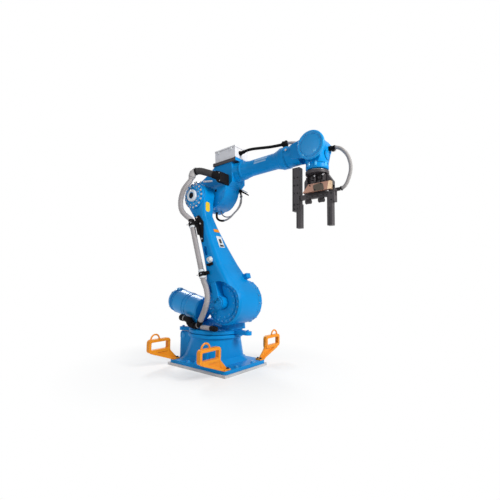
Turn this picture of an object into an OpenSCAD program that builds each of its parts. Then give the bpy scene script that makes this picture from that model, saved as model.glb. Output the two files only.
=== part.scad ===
// Six-axis handling robot for unloading moulding machines: a cast base on a floor plate with
// four fork-lift brackets, a swinging turntable, lower arm, elbow casing, rolling forearm,
// bending wrist and a two-jaw gripper that hangs from the tool flange.
// Millimetres. X points along the reach, Y to the robot's left, Z up.
// The origin is on the swing axis, at the underside of the floor plate.

/* [Pose] */
// Lean of the lower arm behind upright, in degrees
arm_lean = 18; // [10:0.1:25]
// Rise of the forearm above level, in degrees
forearm_pitch = 2.3; // [0:0.1:6]

/* [Links] */
// Distance of the lower-arm axis ahead of the swing axis
shoulder_x = 285; // [275:1:295]
// Height of the lower-arm axis over the swing bearing's face
shoulder_rise = 320; // [310:1:360]
// Length of the lower arm from axis to axis
arm_len = 1100; // [1080:1:1250]
// Height of the forearm axis over the elbow axis
elbow_rise = 246; // [235:1:260]
// Distance along the forearm from the elbow axis to the wrist axis
forearm_len = 1224; // [1200:1:1350]
// Drop from the wrist axis to the tool flange's face
wrist_len = 205; // [195:1:230]

/* [Floor plate and base] */
// Length of the floor plate along X
plate_len = 790; // [780:1:900]
// Width of the floor plate along Y
plate_w = 633; // [620:1:700]
// Thickness of the floor plate
plate_t = 25; // [15:1:40]
// Distance of the plate's centre ahead of the swing axis
plate_x = 30; // [20:1:40]
// Thickness of the base casting's flange
flange_t = 32; // [22:1:45]
// Margin of floor plate that shows around the flange
flange_margin = 10; // [4:1:20]
// Radius of the anchor bolt holes
anchor_r = 11; // [8:0.5:14]
// Distance between the two anchor rows at the front and back
anchor_span_x = 710; // [700:1:720]
// Distance between the two anchor bolts in one row
anchor_span_y = 240; // [160:1:300]
// Height of the swing bearing's face over the floor
base_h = 330; // [320:1:360]
// Radius of the round top flange of the base
base_top_r = 282; // [275:1:300]

/* [Fork brackets] */
// Half distance between the front and back brackets
bracket_x = 345; // [335:1:350]
// Length of each bracket's pocket along the forks
pocket_len = 40; // [30:1:80]
// Clear width of the fork pocket
pocket_w = 196; // [180:1:230]
// Clear height of the fork pocket
pocket_h = 72; // [64:1:90]
// Wall of the fork pocket
pocket_wall = 27; // [14:1:32]
// Outside radius of the lifting eye
eye_r = 57; // [50:1:65]
// Bar diameter of the lifting eye
eye_bar = 16; // [12:1:22]

/* [Turntable] */
// Radius of the turntable's round foot
table_r = 275; // [265:1:290]
// Thickness of the turntable's round foot
table_t = 38; // [30:1:45]
// Radius of the shoulder drum on the turntable
drum_r = 210; // [200:1:215]
// Inner face of the shoulder cheek, from the middle plane
cheek_y = 70; // [66:1:80]
// Thickness of the shoulder cheek's round plate
cheek_t = 52; // [40:1:60]
// Thickness of the gear case on the cheek's outer side
gear_case_t = 68; // [55:1:80]
// Radius of the swing motor's housing
swing_motor_r = 127; // [115:1:135]

/* [Lower arm] */
// Radius of the lower arm's hub drum
hub_r = 214; // [205:1:218]
// Depth of the round recess in the hub's outer side
hub_recess = 88; // [80:1:95]
// Radius of that recess
recess_r = 198; // [185:1:203]
// Outer side plane of the lower arm, from the middle plane
arm_side_y = 288; // [280:1:295]
// Radius of the lower arm's head at the elbow
head_r = 138; // [130:1:144]
// Inner face of the head, from the middle plane
head_in_y = 147; // [145:1:155]

/* [Elbow casing] */
// Right side of the casing, from the middle plane
casing_y0 = 137; // [130:1:140]
// Left side of the casing, from the middle plane
casing_y1 = 115; // [105:1:125]
// Length of the junction box
box_len = 271; // [250:1:285]
// Width of the junction box
box_w = 199; // [180:1:210]
// Height of the junction box
box_h = 131; // [110:1:150]

/* [Forearm and wrist] */
// Radius of the forearm tube
tube_r = 76; // [70:1:82]
// Radius of the forearm's wrist end
wrist_end_r = 100; // [96:1:104]
// Radius of the round covers on the wrist axis
cover_r = 123; // [116:1:128]
// Half width of the wrist between its cheeks
wrist_half = 84; // [78:1:88]
// Radius of the wrist body
wrist_r = 96; // [90:1:100]

/* [Gripper] */
// Width of each jaw plate across the gripper
jaw_w = 60; // [54:1:64]
// Thickness of the left jaw plate along X
left_jaw_t = 70; // [60:1:76]
// Thickness of the right jaw plate along X
right_jaw_t = 50; // [44:1:56]
// Inner face of the left jaw plate, from the tool axis
left_jaw_x = 159; // [150:1:165]
// Inner face of the right jaw plate, from the tool axis
right_jaw_x = 114; // [110:1:120]
// Drop of the jaw tips under the tool flange
jaw_drop = 470; // [450:1:500]

/* [Hidden] */
$fn = 96;
hull_fn = 32;
eps = 0.01;

blue = "dodgerblue";
orange = "orange";
dark = [0.27, 0.25, 0.26];
black = [0.08, 0.08, 0.09];
hose_grey = [0.66, 0.65, 0.66];

// Running gap at a turning joint's faces
joint_gap = 5;
// Gap that a bearing spigot leaves at its far face
spigot_gap = 0.4;
// Gap round a motor that sits in a saddle or a counterbore
seat_gap = 0.5;

shoulder_z = base_h + shoulder_rise;
elbow_x = shoulder_x - arm_len * sin(arm_lean);
elbow_z = shoulder_z + arm_len * cos(arm_lean);
wrist_x = elbow_x + forearm_len * cos(forearm_pitch) - elbow_rise * sin(forearm_pitch);
wrist_z = elbow_z + forearm_len * sin(forearm_pitch) + elbow_rise * cos(forearm_pitch);
flange_z = wrist_z - wrist_len;

// Frames: each puts its children at a joint, in the link's own directions
module at_shoulder() translate([shoulder_x, 0, shoulder_z]) rotate([0, -arm_lean, 0]) children();
module at_elbow() translate([elbow_x, 0, elbow_z]) rotate([0, -forearm_pitch, 0]) children();
module at_wrist() translate([wrist_x, 0, wrist_z]) children();
module at_flange() translate([wrist_x, 0, flange_z]) children();

// Round bar along X from x0 to x1
module xbar(r, x0, x1) translate([x0, 0, 0]) rotate([0, 90, 0]) cylinder(r = r, h = x1 - x0);
// Round bar along Y from y0 to y1
module ybar(r, y0, y1) translate([0, y0, 0]) rotate([-90, 0, 0]) cylinder(r = r, h = y1 - y0);
// Side profile, drawn in X and Z, made solid from y0 to y1
module side_solid(y0, y1) translate([0, y1, 0]) rotate([90, 0, 0]) linear_extrude(y1 - y0) children();
// Rectangle with round corners, about the origin
module round_rect(l, w, r) {
    square([l - 2 * r, w], center = true);
    square([l, w - 2 * r], center = true);
    for (sx = [-1, 1], sy = [-1, 1]) translate([sx * (l / 2 - r), sy * (w / 2 - r)]) circle(r);
}
// Thin round-cornered slice at height z, for lofting
module slice(x0, x1, y0, y1, z, r) {
    for (x = [x0 + r, x1 - r], y = [y0 + r, y1 - r])
        translate([x, y, z]) cylinder(r = r, h = 1, $fn = hull_fn);
}

// ---- Lofted skin ----
corner_steps = 8;
// Outline of a round-cornered rectangle from a station [height, x0, x1, y0, y1, radius]
function outline(s) = [for (c = [0:3], k = [0:corner_steps])
    let (a = 90 * c + 90 * k / corner_steps, right = c == 0 || c == 3, far = c < 2)
    [(right ? s[2] - s[5] : s[1] + s[5]) + s[5] * cos(a),
        (far ? s[4] - s[5] : s[3] + s[5]) + s[5] * sin(a), s[0]]];
// One skin through the stations, curved smoothly from each to the next
module loft(stations, steps) {
    rings = [for (s = smooth(stations, steps)) outline(s)];
    n = len(rings[0]);
    m = len(rings) - 1;
    polyhedron(points = [for (r = rings, q = r) q], convexity = 4, faces = concat(
        [[for (k = [0:n - 1]) k]],
        [for (i = [0:m - 1], k = [0:n - 1])
            [i * n + k, (i + 1) * n + k, (i + 1) * n + (k + 1) % n, i * n + (k + 1) % n]],
        [[for (k = [n - 1:-1:0]) m * n + k]]));
}

// ---- Swept tubes for hoses and leads ----
function unit(v) = v / norm(v);
function spline(p0, p1, p2, p3, t) = 0.5 * (2 * p1 + (p2 - p0) * t
    + (2 * p0 - 5 * p1 + 4 * p2 - p3) * t * t + (3 * p1 - p0 - 3 * p2 + p3) * t * t * t);
// Points of a smooth curve through a route, with n steps between neighbours
function smooth(p, n) = let (m = len(p) - 1) concat([for (i = [0:m - 1], k = [0:n - 1])
    spline(p[max(i - 1, 0)], p[i], p[i + 1], p[min(i + 2, m)], k / n)], [p[m]]);
function tangent(p, i) = unit(p[min(i + 1, len(p) - 1)] - p[max(i - 1, 0)]);
// Side directions carried along the curve without twist
function carry(p, i, v) = unit(v - (v * tangent(p, i)) * tangent(p, i));
function sides(p, i = 0, v = [0.31, 0.9, 0.17]) = i >= len(p) ? []
    : let (u = carry(p, i, v)) concat([u], sides(p, i + 1, u));
module tube(route, r, steps = 3, n = 10) {
    p = smooth(route, steps);
    u = sides(p);
    rings = [for (i = [0:len(p) - 1], k = [0:n - 1]) let (a = 360 * k / n, w = cross(tangent(p, i), u[i]))
        p[i] + r * (cos(a) * u[i] + sin(a) * w)];
    m = len(p) - 1;
    polyhedron(points = rings, convexity = 10, faces = concat(
        [[for (k = [0:n - 1]) k]],
        [for (i = [0:m - 1], k = [0:n - 1])
            [i * n + k, (i + 1) * n + k, (i + 1) * n + (k + 1) % n, i * n + (k + 1) % n]],
        [[for (k = [n - 1:-1:0]) m * n + k]]));
}

// ---- Base ----
flange_z0 = plate_t;
flange_z1 = plate_t + flange_t;
anchor_side_x = 240;
anchor_inset_y = 38;

module anchor_holes(z0, z1) {
    for (sx = [-1, 1], sy = [-1, 1]) {
        translate([plate_x + sx * anchor_span_x / 2, sy * anchor_span_y / 2, z0 - 1])
            cylinder(r = anchor_r, h = z1 - z0 + 2);
        translate([plate_x + sx * anchor_side_x / 2, sy * (plate_w / 2 - anchor_inset_y), z0 - 1])
            cylinder(r = anchor_r, h = z1 - z0 + 2);
    }
}

module floor_plate() color("gainsboro") difference() {
    translate([plate_x, 0, 0]) linear_extrude(plate_t) round_rect(plate_len, plate_w, 8);
    anchor_holes(0, plate_t);
}

base_x = -12;          // centre of the pedestal along X
rear_x0 = -345;        // back of the casting's rear box
rear_half = 190;       // half width of the rear box
rear_top = base_h - 3; // it stays under the turntable's lugs

module base_casting() color(blue) difference() {
    union() {
        translate([plate_x, 0, flange_z0]) linear_extrude(flange_t)
            round_rect(plate_len - 2 * flange_margin, plate_w - 2 * flange_margin, 42);
        // flared foot of the pedestal
        hull() {
            slice(base_x - 300, base_x + 292, -250, 250, flange_z1 - 1, 110);
            slice(base_x - 268, base_x + 262, -226, 226, flange_z1 + 46, 125);
        }
        // pedestal, square below and round under the swing bearing
        hull() {
            slice(base_x - 268, base_x + 262, -226, 226, flange_z1 + 46, 125);
            translate([0, 0, base_h - 62]) cylinder(r = base_top_r - 24, h = 1, $fn = 48);
        }
        translate([0, 0, base_h - 62]) cylinder(r = base_top_r - 24, h = 30);
        // rear box that holds the cable inlets
        hull() {
            slice(rear_x0, -120, -rear_half, rear_half, flange_z1 - 1, 34);
            slice(rear_x0, -120, -rear_half, rear_half, rear_top - 13, 34);
            slice(rear_x0 + 12, -120, -rear_half + 12, rear_half - 12, rear_top - 1, 30);
        }
        translate([0, 0, base_h - 34]) rotate_extrude()
            polygon([[0, 0], [base_top_r - 6, 0], [base_top_r, 6], [base_top_r, 26],
                [base_top_r - 8, 34], [0, 34]]);
        // bearing spigot that carries the turntable
        translate([0, 0, base_h - eps]) cylinder(r = 180, h = joint_gap - spigot_gap);
        // cast ribs from the flange up the sides
        for (sy = [-1, 1], x = [-20, 110]) translate([x, 0, 0]) rotate([90, 0, 90])
            linear_extrude(20) polygon([[sy * 200, flange_z1 - 1], [sy * 285, flange_z1 - 1],
                [sy * 258, flange_z1 + 22], [sy * 232, base_h - 80], [sy * 200, base_h - 80]]);
    }
    anchor_holes(flange_z0, flange_z1);
}

// Panel with the power and signal inlets on the back of the base
module connector_panel() color("silver") translate([rear_x0, 0, flange_z1 + 130]) {
    translate([-8, -120, -80]) cube([8, 240, 170]);
    for (y = [-62, 62]) translate([-8, y, 20]) rotate([0, -90, 0]) rotate_extrude()
        polygon([[0, 0], [38, 0], [38, 8], [30, 8], [30, 34], [24, 34], [24, 22], [0, 22]]);
    translate([-8, 0, -48]) rotate([0, -90, 0]) cylinder(r = 14, h = 20);
}

// ---- Fork brackets ----
// Drawn outwards along +Y from the flange, standing on its top face
pocket_z0 = 98;      // underside of the pocket over the flange
pocket_y0 = 344;     // inner side of the pocket from the middle plane
foot_y0 = 226;       // inner end of the bracket's foot
foot_len = 64;       // length of the foot along X
foot_t = 14;
gusset_t = 14;
strap_t = 12;

module fork_bracket() {
    foot_y1 = plate_w / 2 - flange_margin - 2;
    top_z = pocket_z0 + pocket_h + 2 * pocket_wall;
    out_y = pocket_y0 + pocket_w + 2 * pocket_wall;
    color(orange) translate([0, 0, flange_z1]) {
        difference() {
            translate([-foot_len / 2, foot_y0, 0]) cube([foot_len, foot_y1 - foot_y0, foot_t]);
            for (x = [-18, 18]) translate([x, foot_y0 + 22, -1]) cylinder(r = 7, h = foot_t + 2);
        }
        // inclined strap and gusset between the foot and the pocket
        rotate([90, 0, 90]) translate([0, 0, -pocket_len / 2]) linear_extrude(pocket_len)
            polygon([[foot_y1 - 16, 0], [foot_y1, 0], [out_y - 40, pocket_z0 - strap_t + 2],
                [out_y - 40, pocket_z0 + 2], [out_y - 90, pocket_z0 + 2], [foot_y1 - 16, foot_t]]);
        rotate([90, 0, 90]) translate([0, 0, -gusset_t / 2]) linear_extrude(gusset_t)
            polygon([[foot_y1 - 60, foot_t - 1], [foot_y1 - 16, foot_t - 1], [out_y - 90, pocket_z0 + 2],
                [pocket_y0 + 2, pocket_z0 + 40], [pocket_y0 + 2, pocket_z0 + 100],
                [pocket_y0 - 14, pocket_z0]]);
        // pocket: a short box tube that a fork blade slides through along X
        rotate([90, 0, 90]) translate([0, 0, -pocket_len / 2]) linear_extrude(pocket_len)
            translate([(pocket_y0 + out_y) / 2, (pocket_z0 + top_z) / 2]) difference() {
                round_rect(out_y - pocket_y0, top_z - pocket_z0, 30);
                round_rect(pocket_w, pocket_h, 8);
            }
        // lifting eye: a bent bar welded on the pocket
        translate([0, out_y - 80, top_z - 4]) rotate([90, 0, 90]) {
            rotate_extrude(angle = 180) translate([eye_r - eye_bar / 2, 0]) circle(d = eye_bar);
        }
    }
}
module bracket_at(sx, sy) translate([plate_x + sx * bracket_x, 0, 0])
    mirror([0, sy < 0 ? 1 : 0, 0]) fork_bracket();
module fork_bracket_front_right() bracket_at(1, -1);
module fork_bracket_front_left() bracket_at(1, 1);
module fork_bracket_rear_right() bracket_at(-1, -1);
module fork_bracket_rear_left() bracket_at(-1, 1);

// ---- Turntable ----
table_z0 = base_h + joint_gap;
table_z1 = table_z0 + table_t;
hub_clear = 10;

module turntable_lug(angle, reach) rotate(angle) {
    translate([table_r - 60, -38]) square([reach - 38 - table_r + 60, 76]);
    translate([reach - 38, 0]) circle(38);
}
// Outline of the cheek and its gear case, in X and Z
gear_x = shoulder_x - 305; // shoulder motor, behind and under the shoulder axis
gear_z = shoulder_z - 50;
cheek_y1 = cheek_y + cheek_t;
case_y1 = cheek_y1 + gear_case_t;

module turntable() color(blue) {
    difference() {
        union() {
            translate([0, 0, table_z0]) rotate_extrude()
                polygon([[0, 0], [table_r - 5, 0], [table_r, 5], [table_r, table_t - 10],
                    [table_r - 14, table_t], [0, table_t]]);
            // lugs at the front and at the back corner
            translate([0, 0, table_z0 + 2]) linear_extrude(table_t - 4) {
                turntable_lug(1, 452);
                turntable_lug(-150, 385);
            }
            // neck under the shoulder
            hull() {
                slice(-175, 268, -64, 190, table_z1 - 1, 60);
                slice(-150, 262, -52, 186, table_z1 + 80, 60);
            }
            // round cheek that carries the lower-arm bearing
            side_solid(cheek_y, cheek_y1) {
                translate([shoulder_x, shoulder_z]) circle(drum_r);
                polygon([[-150, table_z1 + 60], [262, table_z1 + 60], [shoulder_x + 60, shoulder_z - 190],
                    [shoulder_x, shoulder_z], [shoulder_x - 60, shoulder_z + 190],
                    [gear_x - 40, gear_z + 92], [gear_x - 96, gear_z - 30]]);
            }
            // gear case from the shoulder motor to the axis
            side_solid(cheek_y1 - 1, case_y1) {
                translate([shoulder_x, shoulder_z]) circle(148);
                translate([gear_x, gear_z]) circle(98);
                polygon([[-150, table_z1 + 60], [196, table_z1 + 60], [shoulder_x + 96, shoulder_z - 112],
                    [shoulder_x, shoulder_z], [shoulder_x - 32, shoulder_z + 144],
                    [gear_x - 18, gear_z + 96], [gear_x - 98, gear_z - 4]]);
            }
            // foot that carries the swing motor
            translate([-150, -224, table_z1 - 2]) cube([180, 164, 190]);
        }
        // clearance for the lower arm's hub
        translate([shoulder_x, 0, shoulder_z]) ybar(hub_r + hub_clear, -420, cheek_y);
        at_swing_motor() xbar(swing_motor_r + seat_gap, 90, 700);
    }
    // bearing ring towards the arm
    translate([shoulder_x, 0, shoulder_z]) ybar(150, cheek_y - 7 + spigot_gap, cheek_y + 1);
}

// Swing motor: behind the shoulder, pitched down towards the front
swing_motor_pitch = 12.5;
swing_motor_len = 480;
module at_swing_motor() translate([shoulder_x - 813, -118, shoulder_z + 2])
    rotate([0, swing_motor_pitch, 0]) children();

module swing_motor() color(blue) at_swing_motor() {
    rotate([0, 90, 0]) rotate_extrude()
        polygon([[0, 84], [112, 84], [112, 96], [swing_motor_r, 104], [swing_motor_r, 300],
            [swing_motor_r - 6, 306], [swing_motor_r - 6, 330], [swing_motor_r, 336],
            [swing_motor_r, swing_motor_len - 14], [swing_motor_r - 14, swing_motor_len],
            [0, swing_motor_len]]);
}

module swing_motor_cap() color(blue) at_swing_motor() {
    rotate([0, 90, 0]) rotate_extrude()
        polygon([[0, 0], [40, 0], [78, 10], [104, 28], [120, 52], [swing_motor_r - 2, 66],
            [swing_motor_r - 2, 78], [116, 84], [0, 84]]);
}

// Cable plugs and their boots, from the swing motor down to the turntable
motor_plug_points = [[-225, -268, 105, 24], [-120, -268, 89, 31], [-92, -266, 47, 31], [-30, -250, 32, 24],
    [14, -254, 47, 20]];
module motor_connectors() color(black) for (i = [1:len(motor_plug_points) - 1]) hull()
    for (p = [motor_plug_points[i - 1], motor_plug_points[i]])
        translate([p[0], p[1], table_z1 + p[2]]) sphere(p[3], $fn = 16);

conduit_y = -240;
conduit_z = 28;
module turntable_conduit() {
    color(hose_grey) translate([18, conduit_y, table_z1 + conduit_z]) for (i = [1:7])
        translate([i * 18, 0, 0]) rotate([0, 90, 0]) rotate_extrude()
            polygon([[0, 0], [17, 0], [21, 4], [21, 14], [17, 18 + eps], [0, 18 + eps]]);
}
module conduit_plug() color(black) translate([18 + 8 * 18 + 0.5, conduit_y, table_z1 + conduit_z])
    rotate([0, 90, 0]) rotate_extrude()
        polygon([[0, 0], [24, 0], [24, 30], [27, 33], [27, 50], [22, 53], [22, 76], [0, 76]]);

// Shoulder motor, parallel to the shoulder axis on the gear case
module shoulder_motor() color(blue) translate([gear_x, 0, gear_z]) {
    ybar(88, case_y1, case_y1 + 26);
    ybar(78, case_y1 + 26 - eps, case_y1 + 180);
}
module shoulder_motor_cap() color(black) translate([gear_x, case_y1 + 180, gear_z])
    rotate([-90, 0, 0]) rotate_extrude() polygon([[0, 0], [72, 0], [72, 40], [62, 52], [0, 52]]);

// ---- Lower arm ----
hub_in_y = cheek_y - 7;      // inner face of the hub drum
hub_out_y = arm_side_y - hub_recess;
boss_r = 60;
beam_z0 = 330;            // where the beam leaves the hub's flare
beam_z3 = arm_len - 230;  // where it starts to widen into the head
// Beam sections: share of its length, back, front, inner side, corner radius
beam_stations = [[0, -86, 124, 20, 58], [0.26, -78, 104, -24, 56], [0.5, -72, 88, -66, 50],
    [0.76, -73, 76, -112, 44], [1, -76, 70, -146, 38]];

module lower_arm() color(blue) at_shoulder() {
    difference() {
        union() {
            rotate([90, 0, 0]) translate([0, 0, -hub_in_y]) rotate_extrude()
                polygon([[0, 0], [hub_r, 0], [hub_r, hub_in_y + hub_out_y - 8],
                    [hub_r - 8, hub_in_y + hub_out_y], [0, hub_in_y + hub_out_y]]);
            // beam: flares out of the hub drum, tapers and bends across to the head
            hull() {
                ybar(hub_r - 30, -arm_side_y + 40, -hub_out_y + 30);
                ybar(hub_r, -hub_out_y + 12, hub_in_y - 30);
                slice(-86, 124, -arm_side_y, 20, beam_z0, 58);
            }
            loft([for (b = beam_stations)
                [beam_z0 + b[0] * (beam_z3 - beam_z0), b[1], b[2], -arm_side_y, b[3], b[4]]], 4);
            hull() {
                slice(-76, 70, -arm_side_y, -146, beam_z3 - 1, 38);
                translate([0, 0, arm_len]) ybar(head_r - 8, -arm_side_y, -head_in_y, $fn = 48);
            }
            translate([0, 0, arm_len]) ybar(head_r, -arm_side_y + 10, -head_in_y);
            // bearing spigot towards the casing
            translate([0, 0, arm_len]) ybar(96, -head_in_y - 1, -casing_y0 - spigot_gap);
            // lifting lug on the front
            translate([110, -26, 178]) cube([96, 60, 48]);
        }
        // round recess in the outer side, around the shoulder axis
        ybar(recess_r, -arm_side_y - 60, -hub_out_y);
        // pocket in the outer side
        hull() for (u = [490, 540]) translate([-6, 0, u])
            ybar(22, -arm_side_y - 1, -arm_side_y + 26, $fn = hull_fn);
    }
    // spine that runs down the recess to the boss on the axis
    intersection() {
        ybar(recess_r + 3, -arm_side_y + 6, -hub_out_y + 1);
        translate([-44, -arm_side_y, 0]) cube([64, hub_recess + 10, recess_r + 20]);
    }
    ybar(boss_r, -arm_side_y + 14, -hub_out_y + 1);
}

// Cover ring on the floor of the recess, around the boss
module hub_cover() color(blue) at_shoulder() difference() {
    ybar(150, -hub_out_y - 9, -hub_out_y);
    ybar(boss_r + 6, -arm_side_y, -hub_out_y + 1);
    translate([-50, -arm_side_y, 0]) cube([76, hub_recess + 1, 200]);
}

bracket_t = 12;
// Hose carried along the back of the arm: each clamp's place along and up the arm, and its packing
hose_y = -320;
hose_r = 27;
clamp_places = [[-85, 300, 0], [-85, 822, bracket_t]];

module hose_clamps() color(black) at_shoulder() for (c = clamp_places) translate([c[0], 0, c[1]]) {
    translate([0, hose_y, 0]) rotate_extrude()
        polygon([[0, -20], [hose_r + 4, -20], [hose_r + 8, -14], [hose_r + 8, 14], [hose_r + 4, 20],
            [0, 20]]);
    translate([10, hose_y - 6, -14]) cube([58, -arm_side_y - hose_y + 6 - c[2], 28]);
}

module hose_bracket() color(black) at_shoulder() {
    side_solid(-arm_side_y - bracket_t, -arm_side_y)
        polygon([[-50, 885], [6, 885], [46, 800], [-8, 610], [-28, 610], [-52, 790]]);
    translate([-40, -arm_side_y - bracket_t - 22, 690]) cube([22, 22, 110]);
}

module hose_fitting() color("white") at_shoulder() translate([29, -arm_side_y, 411])
    rotate([90, 0, 0]) rotate_extrude()
        polygon([[0, 0], [30, 0], [30, 8], [20, 12], [20, 30], [11, 30], [11, 22], [0, 22]]);

module elbow_motor_flange() color(blue) at_shoulder() translate([0, 0, arm_len]) {
    ybar(128, -arm_side_y - 18, -arm_side_y);
}
module elbow_motor_cap() color("silver") at_shoulder() translate([0, -arm_side_y - 18, arm_len])
    rotate([90, 0, 0]) rotate_extrude()
        polygon([[0, 0], [104, 0], [104, 6], [98, 12], [80, 12], [76, 6], [60, 6], [54, 12], [50, 28],
            [30, 30], [28, 24], [0, 24]]);

// ---- Elbow casing ----
casing_nose = 400;   // face that the forearm turns on
root_r = 92;
body_half = 100;     // half width of the casing's upper body
// Wrist motors at the back: place across and up, and radius
wrist_motor_places = [[-52, 196, 48], [52, 196, 48], [0, 98, 44]];
deck_z = elbow_rise + 87;

module elbow_casing() color(blue) at_elbow() difference() {
    union() {
        // wide lower drum around the elbow axis
        intersection() {
            side_solid(-casing_y0, casing_y1 - 25) {
                circle(130);
                translate([76, 54]) circle(166);
                polygon([[-130, 0], [0, 0], [76, 54], [242, 60], [262, 140], [-60, 160], [-128, 90]]);
            }
            rotate([90, 0, 90]) translate([0, 0, -200]) linear_extrude(600)
                polygon([[-casing_y0, -200], [casing_y1, -200], [casing_y1, 140], [-body_half, 140],
                    [-casing_y0, 96]]);
        }
        // upper body that carries the forearm
        side_solid(-body_half, body_half) {
            polygon([[-158, 40], [60, -40], [240, 40], [300, 100], [338, 132], [338, deck_z], [100, deck_z],
                [20, elbow_rise + 30], [-83, elbow_rise - 20], [-146, elbow_rise - 70]]);
        }
        // nose that the forearm turns on
        hull() {
            translate([0, 0, elbow_rise]) xbar(root_r + 10, 326, 327, $fn = 48);
            translate([0, 0, elbow_rise]) xbar(root_r, casing_nose - 22, casing_nose - 21, $fn = 48);
        }
        translate([0, 0, elbow_rise]) xbar(root_r, casing_nose - 24, casing_nose);
    }
    // flat deck under the junction box, as far as the nose
    translate([300, -150, deck_z]) cube([150, 300, 60]);
    // counterbores that the wrist motors sit in
    for (m = wrist_motor_places) translate([0, m[0], m[1]]) xbar(m[2] + seat_gap, -320, -146);
    // relief in the left side
    translate([76, casing_y1 - 24, 54]) rotate([90, 0, 0]) cylinder(r = 100, h = 14);
}

box_plate_t = 32;
module box_plate() color(dark) at_elbow() translate([88, -box_w / 2 - 12.5, deck_z])
    cube([box_len + 36, box_w + 25, box_plate_t]);

box_z = deck_z + box_plate_t;
module junction_box() color("whitesmoke") at_elbow() {
    translate([110, -box_w / 2, box_z]) {
        cube([box_len, box_w, box_h - 16]);
        translate([-3, -3, box_h - 16]) cube([box_len + 6, box_w + 6, 16]);
    }
}
// Cable gland on the front of the box
module box_gland() color(black) at_elbow() translate([110 + box_len, -20, box_z + 66])
    rotate([0, 90, 0]) rotate_extrude()
        polygon([[0, 0], [24, 0], [24, 8], [19, 8], [19, 22], [15, 26], [0, 26]]);

// Three motors for the roll, bend and turn axes, at the back of the casing
module wrist_motors() for (m = wrist_motor_places) color("silver") at_elbow() translate([0, m[0], m[1]]) {
        xbar(m[2], -250, -146);
        xbar(m[2] - 8, -276, -250 + eps);
    }

// Routes on the casing are counted from the elbow axis
conduit_route = [[5, -338, 188], [25, -330, 234], [85, -306, 254], [165, -274, 229],
    [240, -244, 192], [287, -208, 162], [300, -172, 119]];
conduit_points = smooth(conduit_route, 2);
boot_dir = tangent(conduit_points, len(conduit_points) - 1);
module elbow_conduit() color(dark) translate([elbow_x, 0, elbow_z]) tube(conduit_route, 36, 2, 12);
// Plug that closes the conduit and carries it into the casing's side
module conduit_boot() color(black) difference() {
    translate([elbow_x, 0, elbow_z]) translate(conduit_route[6] + boot_dir)
        rotate([0, acos(boot_dir[2]), atan2(boot_dir[1], boot_dir[0])]) rotate_extrude()
            polygon([[0, 0], [44, 0], [44, 26], [38, 32], [38, 100], [0, 100]]);
    at_elbow() translate([0, -casing_y0, -300]) cube(900);
}

lead_route = [[35, 0, -136], [41, 0, -181], [75, 0, -216], [141, 0, -224], [210, 0, -192], [262, 0, -150],
    [299, 0, -104]];
module underside_leads() color(black) translate([elbow_x, 0, elbow_z]) tube(lead_route, 9, 2, 8);

module lead_clip() color(black) at_elbow() translate([262, -40, 20]) {
    cube([10, 40, 30]);
    translate([8, 14, 4]) cube([70, 12, 10]);
    translate([68, 14, -30]) cube([10, 12, 36]);
}

// ---- Forearm ----
fork_x0 = forearm_len - 354; // where the tube widens into the wrist end
cheek_in = wrist_half + joint_gap;
cheek_plate_t = 14;
small_cover_r = 78;

module forearm_tube() color(blue) at_elbow() translate([0, 0, elbow_rise]) {
    rotate([0, 90, 0]) rotate_extrude() polygon([[0, casing_nose + joint_gap],
        [root_r, casing_nose + joint_gap], [root_r, casing_nose + 24],
        [root_r - 5, casing_nose + 30], [tube_r + 4, casing_nose + 84], [tube_r, casing_nose + 110],
        [tube_r, fork_x0 - 66], [tube_r + 4, fork_x0 - 50], [wrist_end_r - 8, fork_x0 - 8],
        [wrist_end_r - 8, fork_x0], [0, fork_x0]]);
    // bearing spigot into the casing nose
    xbar(60, casing_nose + spigot_gap, casing_nose + joint_gap + 1);
}

module wrist_fork() color(blue) at_elbow() translate([0, 0, elbow_rise]) difference() {
    union() {
        rotate([0, 90, 0]) rotate_extrude() polygon([[0, fork_x0], [wrist_end_r - 4, fork_x0],
            [wrist_end_r, fork_x0 + 8], [wrist_end_r, fork_x0 + 60], [wrist_end_r - 5, fork_x0 + 66],
            [wrist_end_r - 5, forearm_len - 150], [0, forearm_len - 150]]);
        // large cheek on the right and small cheek on the left
        hull() {
            translate([forearm_len - 205, -cheek_in - cheek_plate_t, -60]) cube([40, cheek_plate_t, 120]);
            translate([forearm_len, 0, 0]) ybar(104, -cheek_in - cheek_plate_t, -cheek_in, $fn = 48);
        }
        hull() {
            translate([forearm_len - 205, cheek_in, -60]) cube([40, cheek_plate_t, 120]);
            translate([forearm_len, 0, 0])
                ybar(small_cover_r - 4, cheek_in, cheek_in + cheek_plate_t, $fn = 48);
        }
        for (s = [-1, 1]) hull() {
            translate([forearm_len - 205, s > 0 ? 60 : -100, -60]) cube([30, 40, 120]);
            translate([forearm_len - 150, s > 0 ? 60 : -100, -50]) cube([12, 40, 100]);
        }
    }
    translate([forearm_len, 0, 0]) {
        ybar(wrist_r + 26, -cheek_in, cheek_in);
        // bevel above, where the wrist folds back
        rotate([0, forearm_pitch, 0]) side_solid(-cheek_in, cheek_in)
            polygon([[-127, 0], [-204, 110], [0, 110], [0, 0]]);
    }
}

// Round covers over the wrist axis: the large one on the right, a small one on the left
module wrist_covers() color(blue) at_elbow() translate([forearm_len, 0, elbow_rise]) {
    translate([0, -cheek_in - cheek_plate_t, 0]) rotate([90, 0, 0]) rotate_extrude()
        polygon([[0, 0], [cover_r - 4, 0], [cover_r, 4], [cover_r, 18], [cover_r - 8, 23], [100, 23],
            [96, 18], [86, 18], [82, 22], [0, 24]]);
    translate([0, cheek_in + cheek_plate_t, 0]) rotate([-90, 0, 0]) rotate_extrude()
        polygon([[0, 0], [small_cover_r, 0], [small_cover_r, 10], [small_cover_r - 6, 16], [0, 16]]);
}

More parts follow.
